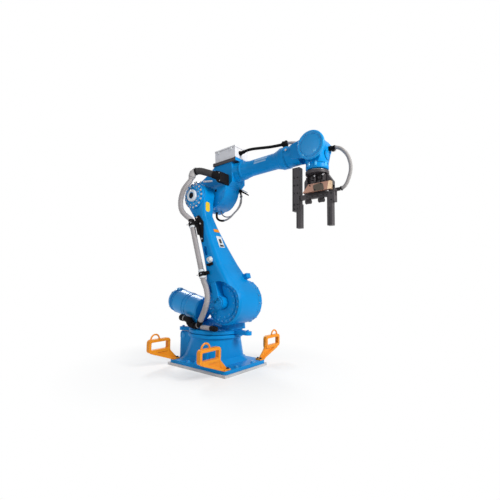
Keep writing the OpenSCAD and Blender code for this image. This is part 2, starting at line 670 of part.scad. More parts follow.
module cable_clamp() color(black) at_elbow() translate([fork_x0 + 40, 0, elbow_rise]) difference() {
    translate([0, 0, wrist_end_r]) {
        translate([-16, -18, -4]) cube([32, 36, 24]);
        translate([-20, 0, 40]) rotate([0, 90, 0]) rotate_extrude()
            polygon([[0, 0], [22, 0], [26, 6], [26, 34], [22, 40], [0, 40]]);
    }
    xbar(wrist_end_r + 0.3, -30, 30);
}

// ---- Wrist ----
module wrist_body() color(blue) at_wrist() {
    ybar(wrist_r, -wrist_half, wrist_half);
    intersection() {
        hull() {
            translate([-84, -wrist_half, -52]) cube([168, 2 * wrist_half, 20]);
            translate([0, 0, -wrist_len + 62]) cylinder(r = 96, h = 1, $fn = 48);
        }
        translate([-150, -wrist_half, -wrist_len]) cube([300, 2 * wrist_half, wrist_len]);
    }
    // round seat of the tool flange
    translate([0, 0, -wrist_len + 14]) rotate_extrude()
        polygon([[0, 0], [92, 0], [98, 8], [98, 36], [84, 58], [0, 58]]);
    // bearing stubs into the cheeks
    for (s = [-1, 1]) ybar(60, s > 0 ? wrist_half - 1 : -cheek_in + spigot_gap,
        s > 0 ? cheek_in - spigot_gap : -wrist_half + 1);
}

module hose_connector() color(black) at_wrist() translate([0, 34, -8]) {
    // side inlet for the hose from the forearm
    translate([112, 0, 0]) ybar(15, 18, 46);
    difference() {
        rotate([0, 90, 0]) rotate_extrude()
            polygon([[0, 60], [21, 60], [21, 118], [17, 122], [17, 136], [0, 136]]);
        translate([0, -34, 8]) ybar(wrist_r, -wrist_half - 1, wrist_half + 1);
    }
}

module tool_flange() color("silver") at_flange() difference() {
    union() {
        cylinder(r = 80, h = 9);
        cylinder(r = 50, h = 14 - spigot_gap);
    }
    translate([0, 0, -1]) cylinder(r = 20, h = 6);
}

// ---- Gripper ----
adapter_t = 24;
beam_h = 40;
beam_z1 = -184;      // top of the beam under the flange
beam_half = 18;
jaw_stroke = 30;
jaw_clear = 0.5;

module gripper_adapter() color(black) at_flange() {
    translate([0, 0, -adapter_t]) cylinder(r = 100, h = adapter_t);
    // web down to the beam
    side_solid(-10, 38) polygon([[-92, -adapter_t + 1], [92, -adapter_t + 1], [142, -95], [142, -130],
        [76, -130], [76, beam_z1], [-120, beam_z1], [-120, -70]]);
    // ribs on the front of the web
    for (x = [-84, -6, 70]) translate([x, -46, -adapter_t - 70]) cube([12, 37, 71]);
    // seat for the clamp block
    translate([-70, -36, beam_z1 + 10]) cube([130, 27, 50]);
    // port for the tool hose
    translate([112, 36, -176]) cube([72, 20, 26]);
    translate([112, 36, -152]) cube([28, 8, 30]);
}
module gripper_beam() color(dark) at_flange() translate([-left_jaw_x - 50, -beam_half, beam_z1 - beam_h])
    cube([left_jaw_x + 50 + right_jaw_x + 44, 2 * beam_half, beam_h]);
// Block of the clamp drive, in front of the web
module clamp_block() color([0.78, 0.55, 0.46]) at_flange() side_solid(-64, -36)
    polygon([[-108, beam_z1 + 4], [150, beam_z1 + 4], [150, -112], [-52, -112]]);

// Jaw plate and finger: x0 is the inner face, s points outwards
module jaw(s, x0, t, top, knee, finger_in, finger_t) color(dark) difference() {
    union() {
        translate([s > 0 ? x0 : -x0 - t, -jaw_w / 2, -knee]) cube([t, jaw_w, knee + top]);
        translate([s > 0 ? finger_in : -finger_in - finger_t, -jaw_w / 2 + 6, -jaw_drop])
            cube([finger_t, jaw_w - 12, jaw_drop - knee + 60]);
    }
    translate([-400, -beam_half - jaw_clear, beam_z1 - beam_h - jaw_clear])
        cube([800, 2 * beam_half + 2 * jaw_clear, beam_h + 2 * jaw_clear]);
}
module left_jaw() at_flange() jaw(-1, left_jaw_x, left_jaw_t, 72, 318, left_jaw_x - 13, 46);
module right_jaw() at_flange() jaw(1, right_jaw_x, right_jaw_t, -162, 276, right_jaw_x - 16, 46);

// Small cylinders that push the fingers, one inside each jaw
cylinder_r = 18;
module jaw_cylinders() color(black) at_flange() for (x = [-110, 12])
    translate([x, 0, beam_z1 - beam_h - 22]) {
    xbar(cylinder_r, 0, 50);
    translate([8, -12, 0]) cube([34, 24, 22]);
}

// ---- Hoses and leads ----
// The routes are counted from the axis of the link that carries them
lower_hose_route = [[-251, -262, -206], [-233, -270, -180], [-175, -296, -120], [-113, -318, -30],
    [-97, -320, 50], [-117, -320, 135], [-151, -320, 196], [-165, -320, 234]];
arm_hose_route = [[-85, -320, 322], [-85, -320, 400], [-85, -320, 511], [-85, -320, 627], [-85, -320, 731],
    [-85, -320, 800]];
elbow_hose_route = [[-3, -320, -267], [-13, -321, -240], [-67, -336, -196], [-123, -354, -136],
    [-133, -368, -46], [-97, -374, 49], [-49, -362, 106], [-16, -347, 140], [2, -339, 182]];
roll_cable_route = [[395, -20, 448], [455, -20, 456], [535, -16, 454], [715, 0, 434], [815, 0, 425],
    [869, 0, 422]];
wrist_hose_route = [[-294, 0, 128], [-228, 20, 121], [-138, 90, 103], [-48, 142, 85], [42, 158, 59],
    [100, 138, 19], [112, 87, -7]];
tool_hose_route = [[137, 34, -8], [160, 35, -11], [206, 40, -36], [258, 42, -108], [278, 44, -210],
    [252, 46, -306], [222, 46, -352], [190, 46, -367]];
hose_sides = 10;
module from_shoulder() translate([shoulder_x, 0, shoulder_z]) children();
module from_elbow() translate([elbow_x, 0, elbow_z]) children();
module lower_hose() color(hose_grey) from_shoulder() tube(lower_hose_route, hose_r, 2, hose_sides);
module arm_hose() color(hose_grey) at_shoulder() tube(arm_hose_route, hose_r, 1, hose_sides);
module elbow_hose() color(hose_grey) from_elbow() tube(elbow_hose_route, hose_r, 2, hose_sides);
module roll_cable() color(black) from_elbow() tube(roll_cable_route, 14, 2, hose_sides);
module wrist_hose() color(hose_grey) at_wrist() tube(wrist_hose_route, 14, 2, hose_sides);
module tool_hose() color(hose_grey) at_wrist() tube(tool_hose_route, 16, 2, hose_sides);

floor_plate();
base_casting();
connector_panel();
fork_bracket_front_right();
fork_bracket_front_left();
fork_bracket_rear_right();
fork_bracket_rear_left();
turntable();
swing_motor();
swing_motor_cap();
motor_connectors();
turntable_conduit();
conduit_plug();
shoulder_motor();
shoulder_motor_cap();
lower_arm();
hub_cover();
hose_clamps();
hose_bracket();
hose_fitting();
elbow_motor_flange();
elbow_motor_cap();
elbow_casing();
box_plate();
junction_box();
box_gland();
wrist_motors();
elbow_conduit();
conduit_boot();
underside_leads();
lead_clip();
forearm_tube();
wrist_fork();
wrist_covers();
cable_clamp();
wrist_body();
hose_connector();
tool_flange();
gripper_adapter();
gripper_beam();
clamp_block();
jaw_cylinders();
left_jaw();
right_jaw();
lower_hose();
arm_hose();
elbow_hose();
roll_cable();
wrist_hose();
tool_hose();
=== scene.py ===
# %% [markdown]
# # Robot that takes mouldings out of a moulding machine
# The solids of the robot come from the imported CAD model, and this notebook gives them their
# finish: paint, castings, hoses, bolts, cables and light. Every piece is made in metres in the
# model's own frame: X along the reach, Y to the robot's left, Z up, origin on the swing axis.

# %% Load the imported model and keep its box
import math
import bpy
import bmesh
from mathutils import Matrix, Vector


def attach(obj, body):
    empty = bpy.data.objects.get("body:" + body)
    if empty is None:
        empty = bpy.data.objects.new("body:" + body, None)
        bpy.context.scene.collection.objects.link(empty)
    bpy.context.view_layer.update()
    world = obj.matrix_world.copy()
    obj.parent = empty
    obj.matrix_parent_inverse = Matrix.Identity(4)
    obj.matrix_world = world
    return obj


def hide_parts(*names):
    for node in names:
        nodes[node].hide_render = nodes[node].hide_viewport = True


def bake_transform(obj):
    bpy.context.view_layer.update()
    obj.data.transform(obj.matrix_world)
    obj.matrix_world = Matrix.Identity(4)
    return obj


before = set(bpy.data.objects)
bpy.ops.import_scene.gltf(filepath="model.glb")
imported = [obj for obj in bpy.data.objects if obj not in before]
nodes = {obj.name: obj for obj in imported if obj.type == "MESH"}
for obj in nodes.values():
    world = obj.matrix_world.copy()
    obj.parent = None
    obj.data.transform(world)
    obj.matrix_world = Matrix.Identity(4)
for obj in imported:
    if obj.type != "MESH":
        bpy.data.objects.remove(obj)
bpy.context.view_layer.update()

# %% [markdown]
# ## Camera
# The robot is seen from its front right corner. The camera stands at hip height, between the
# shoulder and the elbow, and looks slightly up, so the forearm and the gripper rise against the
# background. A short lens gives the strong perspective of a close view.

# %% Camera
def camera_place(position, azimuth, pitch, roll):
    """Place and turn of a camera that looks along azimuth (0 is +Y) and pitch, in radians."""
    ahead = Vector((-math.sin(azimuth) * math.cos(pitch), math.cos(azimuth) * math.cos(pitch),
                    math.sin(pitch)))
    level_side = ahead.cross(Vector((0, 0, 1))).normalized()
    level_up = level_side.cross(ahead)
    side = level_side * math.cos(roll) + level_up * math.sin(roll)
    up = level_up * math.cos(roll) - level_side * math.sin(roll)
    turn = Matrix((side, up, -ahead)).transposed().to_4x4()
    return Matrix.Translation(position) @ turn


SENSOR_MM = 36.0
LENS_MM = 24.17184
CAMERA_PLACE = Vector((2.4429, -2.5570, 0.8636))
CAMERA_AZIMUTH, CAMERA_PITCH, CAMERA_ROLL = 0.66561, 0.08846, 0.01115
camera_data = bpy.data.cameras.new("camera")
camera_data.sensor_width = SENSOR_MM
camera_data.lens = LENS_MM
camera = bpy.data.objects.new("camera", camera_data)
camera.matrix_world = camera_place(CAMERA_PLACE, CAMERA_AZIMUTH, CAMERA_PITCH, CAMERA_ROLL)
bpy.context.scene.collection.objects.link(camera)
bpy.context.scene.camera = camera
print("lens", round(camera_data.lens, 2), "mm")

# %% [markdown]
# ## Frames of the links
# Bolts, plates and hoses are easiest to place in the directions of the link that carries them,
# so each link has a frame at its joint: the lower arm leans back 18 degrees, and the forearm
# rises 2.3 degrees. A piece is placed in the frame of its body, unless it names another.

# %% Link frames
ARM_LEAN = math.radians(18)
FOREARM_PITCH = math.radians(2.3)
SHOULDER = Vector((0.285, 0, 0.65))
ARM_LEN = 1.1
ELBOW_RISE = 0.246
FOREARM_LEN = 1.224
WRIST_DROP = 0.205
arm_frame = Matrix.Translation(SHOULDER) @ Matrix.Rotation(-ARM_LEAN, 4, "Y")
ELBOW = arm_frame @ Vector((0, 0, ARM_LEN))
elbow_frame = Matrix.Translation(ELBOW) @ Matrix.Rotation(-FOREARM_PITCH, 4, "Y")
WRIST = elbow_frame @ Vector((FOREARM_LEN, 0, ELBOW_RISE))
wrist_frame = Matrix.Translation(WRIST)
flange_frame = Matrix.Translation(WRIST - Vector((0, 0, WRIST_DROP)))
world_frame = Matrix.Identity(4)
LINKS = {"base": world_frame, "turntable": world_frame, "lower_arm": arm_frame,
         "elbow": elbow_frame, "forearm": elbow_frame, "wrist": wrist_frame,
         "tool": flange_frame, "left_jaw": flange_frame, "right_jaw": flange_frame}
print("elbow", [round(v, 4) for v in ELBOW], "wrist", [round(v, 4) for v in WRIST])

# %% [markdown]
# ## Shared effects as node groups
# Painted castings, plastic and steel all share a few effects: a slow drift of tone, dust, lighter
# edges and grain. The lighter edges are painted edge highlight on the paints, and wear on steel
# and copper. Each is a small node group with named sockets, built once. A group puts out a
# colour, a mask or a height, and every shader stays in the material itself.

# %% Helpers for node groups
def new_group(name, inputs, outputs):
    """Empty shader node group with its sockets. Inputs are (name, kind, default)."""
    group = bpy.data.node_groups.new(name, "ShaderNodeTree")
    for label, kind, default in inputs:
        socket = group.interface.new_socket(label, in_out="INPUT", socket_type=kind)
        socket.default_value = default
    for label, kind in outputs:
        group.interface.new_socket(label, in_out="OUTPUT", socket_type=kind)
    return group, group.nodes.new("NodeGroupInput"), group.nodes.new("NodeGroupOutput")


def feed(tree, socket, value):
    """Links a socket to another one, or sets its value."""
    if isinstance(value, bpy.types.NodeSocket):
        tree.links.new(value, socket)
    else:
        socket.default_value = value


def add_node(tree, kind, inputs, **settings):
    """Node with its settings, and its inputs fed from sockets or values."""
    node = tree.nodes.new(kind)
    for label, value in settings.items():
        setattr(node, label, value)
    for label, value in inputs.items():
        feed(tree, node.inputs[label], value)
    return node


def noise(tree, scale, detail, coordinates):
    inputs = {"Scale": scale, "Detail": detail, "Vector": coordinates}
    return add_node(tree, "ShaderNodeTexNoise", inputs).outputs["Fac"]


def ramp(tree, value, low, high):
    """Value from low to high spread to 0 to 1, clamped."""
    inputs = {"Value": value, "From Min": low, "From Max": high}
    return add_node(tree, "ShaderNodeMapRange", inputs).outputs["Result"]


def mix_colour(tree, factor, first, second):
    """Mix of two colours; all three are sockets or values."""
    inputs = {"Factor": factor, 6: first, 7: second}
    return add_node(tree, "ShaderNodeMix", inputs, data_type="RGBA").outputs[2]


def maths(tree, operation, *values):
    """Math node of sockets or numbers."""
    inputs = dict(enumerate(values))
    return add_node(tree, "ShaderNodeMath", inputs, operation=operation).outputs[0]


# %% Group: lighter edges, painted edge highlight and wear
def make_worn_and_lit_edge_group():
    """Mask that is 1 near an edge, where the finish is made lighter: painted edge highlight on
    the paints, wear on steel and copper. The Bevel node's normal leaves the true normal only near
    edges, and noise breaks the line up."""
    group, given, out = new_group("worn_and_lit_edges", [("Radius", "NodeSocketFloat", 0.006),
                                                   ("Patchiness", "NodeSocketFloat", 0.5)],
                                  [("Mask", "NodeSocketFloat")])
    bevel = add_node(group, "ShaderNodeBevel", {"Radius": given.outputs["Radius"]}, samples=4)
    normal = group.nodes.new("ShaderNodeNewGeometry").outputs["Normal"]
    dot = add_node(group, "ShaderNodeVectorMath", {0: bevel.outputs["Normal"], 1: normal},
                   operation="DOT_PRODUCT")
    near = ramp(group, maths(group, "SUBTRACT", 1.0, dot.outputs["Value"]), 0.02, 0.22)
    place = group.nodes.new("ShaderNodeTexCoord").outputs["Object"]
    broken = ramp(group, noise(group, 34, 3, place), 0.44, 0.62)
    lost = maths(group, "MULTIPLY", broken, given.outputs["Patchiness"])
    kept = maths(group, "SUBTRACT", 1.0, lost)
    feed(group, out.inputs["Mask"], maths(group, "MULTIPLY", near, kept))
    return group


edge_group = make_worn_and_lit_edge_group()


# %% Group: tone drift and dust
def make_tone_group():
    """Colour with a slow drift of tone, and dust that settles on faces that look up."""
    group, given, out = new_group(
        "tone_and_dust",
        [("Colour", "NodeSocketColor", (0.5, 0.5, 0.5, 1)), ("Drift", "NodeSocketFloat", 0.12),
         ("Dust", "NodeSocketFloat", 0.1),
         ("Dust Colour", "NodeSocketColor", (0.5, 0.48, 0.45, 1))],
        [("Colour", "NodeSocketColor"), ("Dust Mask", "NodeSocketFloat")])
    place = group.nodes.new("ShaderNodeTexCoord").outputs["Object"]
    slow = ramp(group, noise(group, 3.5, 2, place), 0.3, 0.7)
    fine = ramp(group, noise(group, 60, 4, place), 0.35, 0.65)
    dark = mix_colour(group, given.outputs["Drift"], given.outputs["Colour"], (0, 0, 0, 1))
    toned = mix_colour(group, slow, given.outputs["Colour"], dark)
    normal = group.nodes.new("ShaderNodeNewGeometry").outputs["Normal"]
    split = add_node(group, "ShaderNodeSeparateXYZ", {0: normal})
    upward = ramp(group, split.outputs["Z"], 0.55, 1.0)
    mask = maths(group, "MULTIPLY", maths(group, "MULTIPLY", upward, fine), given.outputs["Dust"])
    dusted = mix_colour(group, mask, toned, given.outputs["Dust Colour"])
    feed(group, out.inputs["Colour"], dusted)
    feed(group, out.inputs["Dust Mask"], mask)
    return group


tone_group = make_tone_group()


# %% Group: surface height
def make_grain_group():
    """Height of a cast or moulded surface: low waves and a fine grain, each with its own share."""
    group, given, out = new_group("surface_grain", [("Wave Size", "NodeSocketFloat", 18.0),
                                                    ("Grain Size", "NodeSocketFloat", 240.0),
                                                    ("Grain Share", "NodeSocketFloat", 0.4)],
                                  [("Height", "NodeSocketFloat")])
    place = group.nodes.new("ShaderNodeTexCoord").outputs["Object"]
    waves, grain = (
        add_node(group, "ShaderNodeTexNoise", {"Vector": place, "Scale": given.outputs[size]})
        for size in ("Wave Size", "Grain Size"))
    both = add_node(group, "ShaderNodeMix", {
        0: given.outputs["Grain Share"], 2: waves.outputs["Fac"], 3: grain.outputs["Fac"]})
    feed(group, out.inputs["Height"], both.outputs[0])
    return group


grain_group = make_grain_group()

# %% [markdown]
# ## Finishes
# The castings are enamelled in one bright blue with a soft gloss, over sand-cast iron: the
# paint flows over the casting's low waves, and its edges are painted a lighter blue as a painted
# edge highlight. A few small parts carry the blue in its lit colour, as painted highlight. The
# fork brackets are orange, with lighter edges painted the same way; the gripper is blackened
# steel, and plugs, clips and cables are black plastic. One function builds them all from the
# shared groups, with its own numbers for each.

# %% The finish function
def place_group(tree, group, **values):
    """Node of a shared group, with its numbers and colours."""
    inputs = {label.replace("_", " "): value for label, value in values.items()}
    return add_node(tree, "ShaderNodeGroup", inputs, node_tree=group)


DUST_ROUGHNESS = 0.5
WORN_AND_LIT_REACH = 1.5  # lighter edges (painted highlight and wear) are this much wider than the rounding


def make_finish(name, colour, roughness, metallic=0.0, coat=0.0, drift=0.12, dust=0.08,
                worn_and_lit_colour=None, worn_and_lit_share=0.5, edge=0.004, waves=18, grain=240, grain_share=0.4,
                height=0.0006, gloss=0.5):
    """Painted, moulded or machined finish: tone, dust, lighter edges (painted highlight and
    wear), rounded edges and grain.
    """
    material = bpy.data.materials.new(name)
    material.use_nodes = True
    tree = material.node_tree
    shader = tree.nodes["Principled BSDF"]
    for label, value in (("Roughness", roughness), ("Metallic", metallic),
                         ("Specular IOR Level", gloss), ("Coat Weight", coat),
                         ("Coat Roughness", 0.12)):
        shader.inputs[label].default_value = value
    tone = place_group(tree, tone_group, Colour=(*colour, 1), Drift=drift, Dust=dust)
    surface = tone.outputs["Colour"]
    # Lighter edges: painted edge highlight on the blue and orange paints, wear on steel and copper.
    if worn_and_lit_colour:
        edges = place_group(tree, edge_group, Radius=edge * WORN_AND_LIT_REACH, Patchiness=0.8)
        mask = maths(tree, "MULTIPLY", edges.outputs["Mask"], worn_and_lit_share)
        surface = mix_colour(tree, mask, surface, (*worn_and_lit_colour, 1))
    feed(tree, shader.inputs["Base Color"], surface)
    if dust:
        duller = maths(tree, "MULTIPLY", tone.outputs["Dust Mask"], DUST_ROUGHNESS)
        feed(tree, shader.inputs["Roughness"], maths(tree, "ADD", duller, roughness))
    rounded = add_node(tree, "ShaderNodeBevel", {"Radius": edge}, samples=6)
    skin = place_group(tree, grain_group, Wave_Size=waves, Grain_Size=grain,
                       Grain_Share=grain_share)
    bump = add_node(tree, "ShaderNodeBump", {
        "Strength": 0.6, "Distance": height, "Height": skin.outputs["Height"],
        "Normal": rounded.outputs["Normal"]})
    feed(tree, shader.inputs["Normal"], bump.outputs["Normal"])
    return material


# %% The finishes of this robot: colour, roughness, and what differs from the usual
FINISHES = {
    # The edge colours of the blue and orange paints are painted edge highlight; those of steel,
    # copper and plate are wear.
    "blue_enamel": ((0.0, 0.265, 0.68), 0.34, dict(
        drift=0.16, dust=0.03, worn_and_lit_colour=(0.05, 0.46, 0.88), worn_and_lit_share=0.4, edge=0.007,
        height=0.0012, gloss=0.12)),
    "blue_gloss": ((0.0, 0.31, 0.74), 0.3, dict(
        coat=0.05, dust=0.02, worn_and_lit_colour=(0.08, 0.55, 0.92), edge=0.005, height=0.0008, gloss=0.3)),
    "orange_enamel": ((0.90, 0.30, 0.010), 0.38, dict(
        drift=0.15, dust=0.02, worn_and_lit_colour=(0.92, 0.52, 0.14), gloss=0.25)),
    # The blue paint in its lit colour: the parts in it carry a painted highlight.
    "lit_blue_paint": ((0.06, 0.46, 0.86), 0.25, dict(coat=0.2, drift=0.1, edge=0.003)),
    "white_enamel": ((0.72, 0.75, 0.78), 0.35, dict(drift=0.06, edge=0.002)),
    "box_enamel": ((0.78, 0.77, 0.80), 0.45, dict(
        drift=0.05, dust=0.04, worn_and_lit_colour=(0.78, 0.78, 0.80), worn_and_lit_share=0.3, edge=0.003,
        height=0.0003, gloss=0.3)),
    "pale_blue": ((0.30, 0.55, 0.84), 0.35, dict(drift=0.25, edge=0.001, gloss=0.3)),
    "yellow_plate": ((0.80, 0.54, 0.02), 0.4, dict(drift=0.1, edge=0.001, gloss=0.3)),
    "plate_grey": ((0.60, 0.60, 0.62), 0.5, dict(
        metallic=0.1, drift=0.2, dust=0.12, worn_and_lit_colour=(0.7, 0.7, 0.72), edge=0.003, gloss=0.3)),
    "black_steel": ((0.066, 0.058, 0.063), 0.42, dict(
        metallic=0.1, drift=0.3, dust=0.03, worn_and_lit_colour=(0.20, 0.18, 0.18), worn_and_lit_share=0.6, edge=0.003,
        gloss=0.2)),
    "motor_metal": ((0.52, 0.54, 0.56), 0.38, dict(metallic=0.6, edge=0.002)),
    "machined_steel": ((0.55, 0.55, 0.56), 0.28, dict(metallic=0.9, drift=0.1, edge=0.002)),
    "copper_block": ((0.38, 0.19, 0.13), 0.34, dict(
        metallic=0.35, drift=0.45, dust=0.0, worn_and_lit_colour=(0.55, 0.34, 0.25), edge=0.003, waves=9)),
    # Dark bronze, used only as painted shade across the middle of the drive block.
    "bronze_painted_shade": ((0.10, 0.078, 0.055), 0.4, dict(
        metallic=0.2, drift=0.4, edge=0.002, gloss=0.3)),
    # Bright brass, used only as a painted highlight at the front end of the drive block.
    "brass_painted_highlight": ((0.58, 0.40, 0.25), 0.3, dict(metallic=0.4, edge=0.001)),
    "black_plastic": ((0.007, 0.006, 0.007), 0.6, dict(
        drift=0.2, dust=0.0, edge=0.002, grain=600, grain_share=0.8, height=0.0003, gloss=0.08)),
    "dark_boot": ((0.045, 0.042, 0.044), 0.55, dict(
        drift=0.25, edge=0.002, height=0.0004, gloss=0.25)),
    "bolt_black": ((0.012, 0.012, 0.014), 0.4, dict(
        metallic=0.2, drift=0.3, edge=0.001, gloss=0.3)),
    "bolt_zinc": ((0.58, 0.58, 0.60), 0.3, dict(metallic=0.85, drift=0.2, edge=0.001)),
    "bolt_blue": ((0.0, 0.30, 0.70), 0.3, dict(
        coat=0.4, drift=0.2, dust=0.05, worn_and_lit_colour=(0.18, 0.55, 0.9), edge=0.001)),
    # The hoses are plain plastic: their ribs are true geometry, made later.
    "hose_jacket": ((0.42, 0.39, 0.395), 0.5, dict(
        drift=0.3, dust=0.05, edge=0.001, grain=500, grain_share=0.7, height=0.0003)),
    "conduit_grey": ((0.42, 0.40, 0.40), 0.42, dict(coat=0.1, drift=0.25, edge=0.002)),
    "lead_grey": ((0.36, 0.34, 0.34), 0.5, dict(drift=0.2, edge=0.001)),
}
finishes = {name: make_finish(name, colour, roughness, **more)
            for name, (colour, roughness, more) in FINISHES.items()}
print("finishes", len(finishes))

# %% Finish of each solid; the castings are blue
NODE_FINISHES = {
    "plate_grey": ["floor_plate"],
    "motor_metal": ["connector_panel", "wrist_motors"],
    "box_enamel": ["junction_box"],
    "blue_gloss": ["elbow_motor_cap", "swing_motor", "swing_motor_cap", "wrist_covers"],
    "white_enamel": ["hose_fitting"],
    "machined_steel": ["tool_flange"],
    "copper_block": ["clamp_block"],
    # The box plate is black as painted shade: its sides lie in shade under the box, and its front
    # edge is blue.
    "black_steel": ["gripper_adapter", "gripper_beam", "left_jaw", "right_jaw", "box_plate",
                    "jaw_cylinders"],
    "black_plastic": ["motor_connectors", "conduit_plug", "shoulder_motor_cap", "hose_clamps",
                      "hose_bracket", "conduit_boot", "underside_leads", "lead_clip",
                      "roll_cable", "cable_clamp", "hose_connector", "box_gland"],
    "hose_jacket": ["lower_hose", "arm_hose", "elbow_hose", "wrist_hose", "tool_hose",
                    "turntable_conduit"],
    "dark_boot": ["elbow_conduit"],
    "orange_enamel": [name for name in nodes if name.startswith("fork_bracket")],
}
finish_of = {node: finish for finish, group in NODE_FINISHES.items() for node in group}
for name, node in nodes.items():
    node.data.materials.clear()
    node.data.materials.append(finishes[finish_of.get(name, "blue_enamel")])
print("solids finished:", len(nodes))

# %% [markdown]
# ## Smooth castings
# The lofts of the castings are made of flat facets. A small geometry-nodes modifier shades them
# as one smooth skin, and keeps an edge sharp where its faces meet at more than 28 degrees.

# %% Smooth shading by angle
WELD_DISTANCE = 0.00002
SHARP_ANGLE = math.radians(28)


def make_smoothing():
    """Geometry nodes that shade a mesh smooth, and leave its sharp edges sharp."""
    group = bpy.data.node_groups.new("smooth_by_angle", "GeometryNodeTree")
    group.interface.new_socket("Geometry", in_out="INPUT", socket_type="NodeSocketGeometry")
    group.interface.new_socket("Geometry", in_out="OUTPUT", socket_type="NodeSocketGeometry")
    given, out = group.nodes.new("NodeGroupInput"), group.nodes.new("NodeGroupOutput")
    weld = add_node(group, "GeometryNodeMergeByDistance", {
        "Geometry": given.outputs[0], "Distance": WELD_DISTANCE})
    faces = add_node(group, "GeometryNodeSetShadeSmooth", {
        "Geometry": weld.outputs[0], "Shade Smooth": True})
    angle = group.nodes.new("GeometryNodeInputMeshEdgeAngle").outputs["Unsigned Angle"]
    small = add_node(group, "FunctionNodeCompare", {"A": angle, "B": SHARP_ANGLE},
                     operation="LESS_THAN")
    edges = add_node(group, "GeometryNodeSetShadeSmooth", {
        "Geometry": faces.outputs[0], "Shade Smooth": small.outputs["Result"]}, domain="EDGE")
    feed(group, out.inputs[0], edges.outputs[0])
    return group


smoothing = make_smoothing()
for node in nodes.values():
    node.modifiers.new("smooth", "NODES").node_group = smoothing

# %% [markdown]
# ## Floor, backdrop and light
# A pale studio: a white floor that keeps the robot's shadow, a white world behind it, and three
# soft lamps. The key lamp stands high in front, so the faces turned to the front are bright and
# the sides fall into the deep blue of the paint. The camera and reflections see pure white,
# which lights nothing.

# %% Floor and world
FLOOR_HALF = 14
FADE_START, FADE_END = 0.55, 1.5  # metres from the foot
NEAR_WHITE = 0.55  # share of plain white near the foot


def white_where_seen(tree, factor=1.0):
    """A factor on what the camera or a reflection sees, and 0 for the light on the object."""
    paths = tree.nodes.new("ShaderNodeLightPath")
    seen = maths(tree, "MAXIMUM", paths.outputs["Is Camera Ray"], paths.outputs["Is Glossy Ray"])
    return maths(tree, "MULTIPLY", seen, factor)


def make_floor():
    """White floor that keeps a soft shadow near the foot and fades to plain white further out."""
    mesh = bpy.data.meshes.new("studio_floor")
    mesh.from_pydata([(x * FLOOR_HALF, y * FLOOR_HALF, 0)
                      for x, y in ((-1, -1), (1, -1), (1, 1), (-1, 1))], [], [(0, 1, 2, 3)])
    floor = bpy.data.objects.new("studio_floor", mesh)
    bpy.context.scene.collection.objects.link(floor)
    material = bpy.data.materials.new("studio_white")
    material.use_nodes = True
    tree = material.node_tree
    shader = tree.nodes["Principled BSDF"]
    shader.inputs["Roughness"].default_value = 0.9
    shader.inputs["Specular IOR Level"].default_value = 0.1
    place = tree.nodes.new("ShaderNodeTexCoord").outputs["Object"]
    drift = ramp(tree, noise(tree, 0.7, 2, place), 0.2, 0.8)
    pale = mix_colour(tree, drift, (0.90, 0.90, 0.90, 1), (0.93, 0.93, 0.93, 1))
    feed(tree, shader.inputs["Base Color"], pale)
    away = add_node(tree, "ShaderNodeVectorMath", {0: place}, operation="LENGTH")
    faded = ramp(tree, away.outputs["Value"], FADE_START, FADE_END)
    share = maths(tree, "MULTIPLY_ADD", faded, 1 - NEAR_WHITE, NEAR_WHITE)
    white = tree.nodes.new("ShaderNodeEmission")
    both = add_node(tree, "ShaderNodeMixShader", {
        "Fac": white_where_seen(tree, share), 1: shader.outputs["BSDF"],
        2: white.outputs["Emission"]})
    feed(tree, tree.nodes["Material Output"].inputs["Surface"], both.outputs["Shader"])
    mesh.materials.append(material)


def make_world():
    """White behind the object, and a dimmer grey as its fill light."""
    world = bpy.data.worlds.new("studio_world")
    bpy.context.scene.world = world
    world.use_nodes = True
    tree = world.node_tree
    colour = mix_colour(tree, white_where_seen(tree), (0.22, 0.24, 0.27, 1), (1, 1, 1, 1))
    feed(tree, tree.nodes["Background"].inputs["Color"], colour)


make_floor()
make_world()
bpy.context.scene.view_settings.view_transform = "Standard"


# %% Lamps
def add_lamp(name, place, aim, size, power, colour=(1, 1, 1)):
    """Round soft lamp at a place, turned to what it aims at. Size in metres, power in watts."""
    data = bpy.data.lights.new(name, "AREA")
    data.shape = "DISK"
    data.size = size
    data.energy = power
    data.color = colour
    lamp = bpy.data.objects.new(name, data)
    lamp.location = place
    lamp.rotation_euler = (Vector(aim) - Vector(place)).to_track_quat("-Z", "Y").to_euler()
    bpy.context.scene.collection.objects.link(lamp)


add_lamp("key_lamp", (6.0, -0.4, 4.2), (0.3, 0, 1.0), 2.2, 370, (1.0, 0.99, 0.94))
add_lamp("fill_lamp", (-1.0, -5.6, 2.6), (0.2, 0, 0.9), 3.0, 58)
add_lamp("back_lamp", (-3.6, 2.0, 4.6), (0.0, 0, 1.2), 2.0, 150)


# %% [markdown]
# ## Tools for making pieces
# Screws, rings and rods are turned parts: a profile of radius and height in millimetres is spun
# round an axis. Plates are outlines with a bevelled edge. Many copies go into one mesh, so a
# group of like screws is one piece. Places are in millimetres in the frame of the link.

# %% Mesh helpers
MM = 0.001
UP, SIDE, LEFT, FRONT, BACK = (0, 0, 1), (0, -1, 0), (0, 1, 0), (1, 0, 0), (-1, 0, 0)


def at(link, place, axis):
    """Frame at a place of a link, in millimetres, whose local Z lies along an axis of the link."""
    turn = Vector(axis).to_track_quat("Z", "Y").to_matrix().to_4x4()
    return link @ Matrix.Translation(Vector(place) * MM) @ turn


def circle(radius, count, first=0.0):
    """Pairs of numbers evenly round a circle, from an angle in degrees."""
    return [(radius * math.cos(a), radius * math.sin(a))
            for a in (math.radians(first) + 2 * math.pi * k / count for k in range(count))]


def join_rings(bm, rings):
    """Adds the skin of a solid: faces from each ring of corners to the next, and both ends."""
    for low, high in zip(rings, rings[1:]):
        for k in range(len(low)):
            n = (k + 1) % len(low)
            bm.faces.new((low[k], low[n], high[n], high[k]))
    bm.faces.new(list(reversed(rings[0])))
    bm.faces.new(rings[-1])


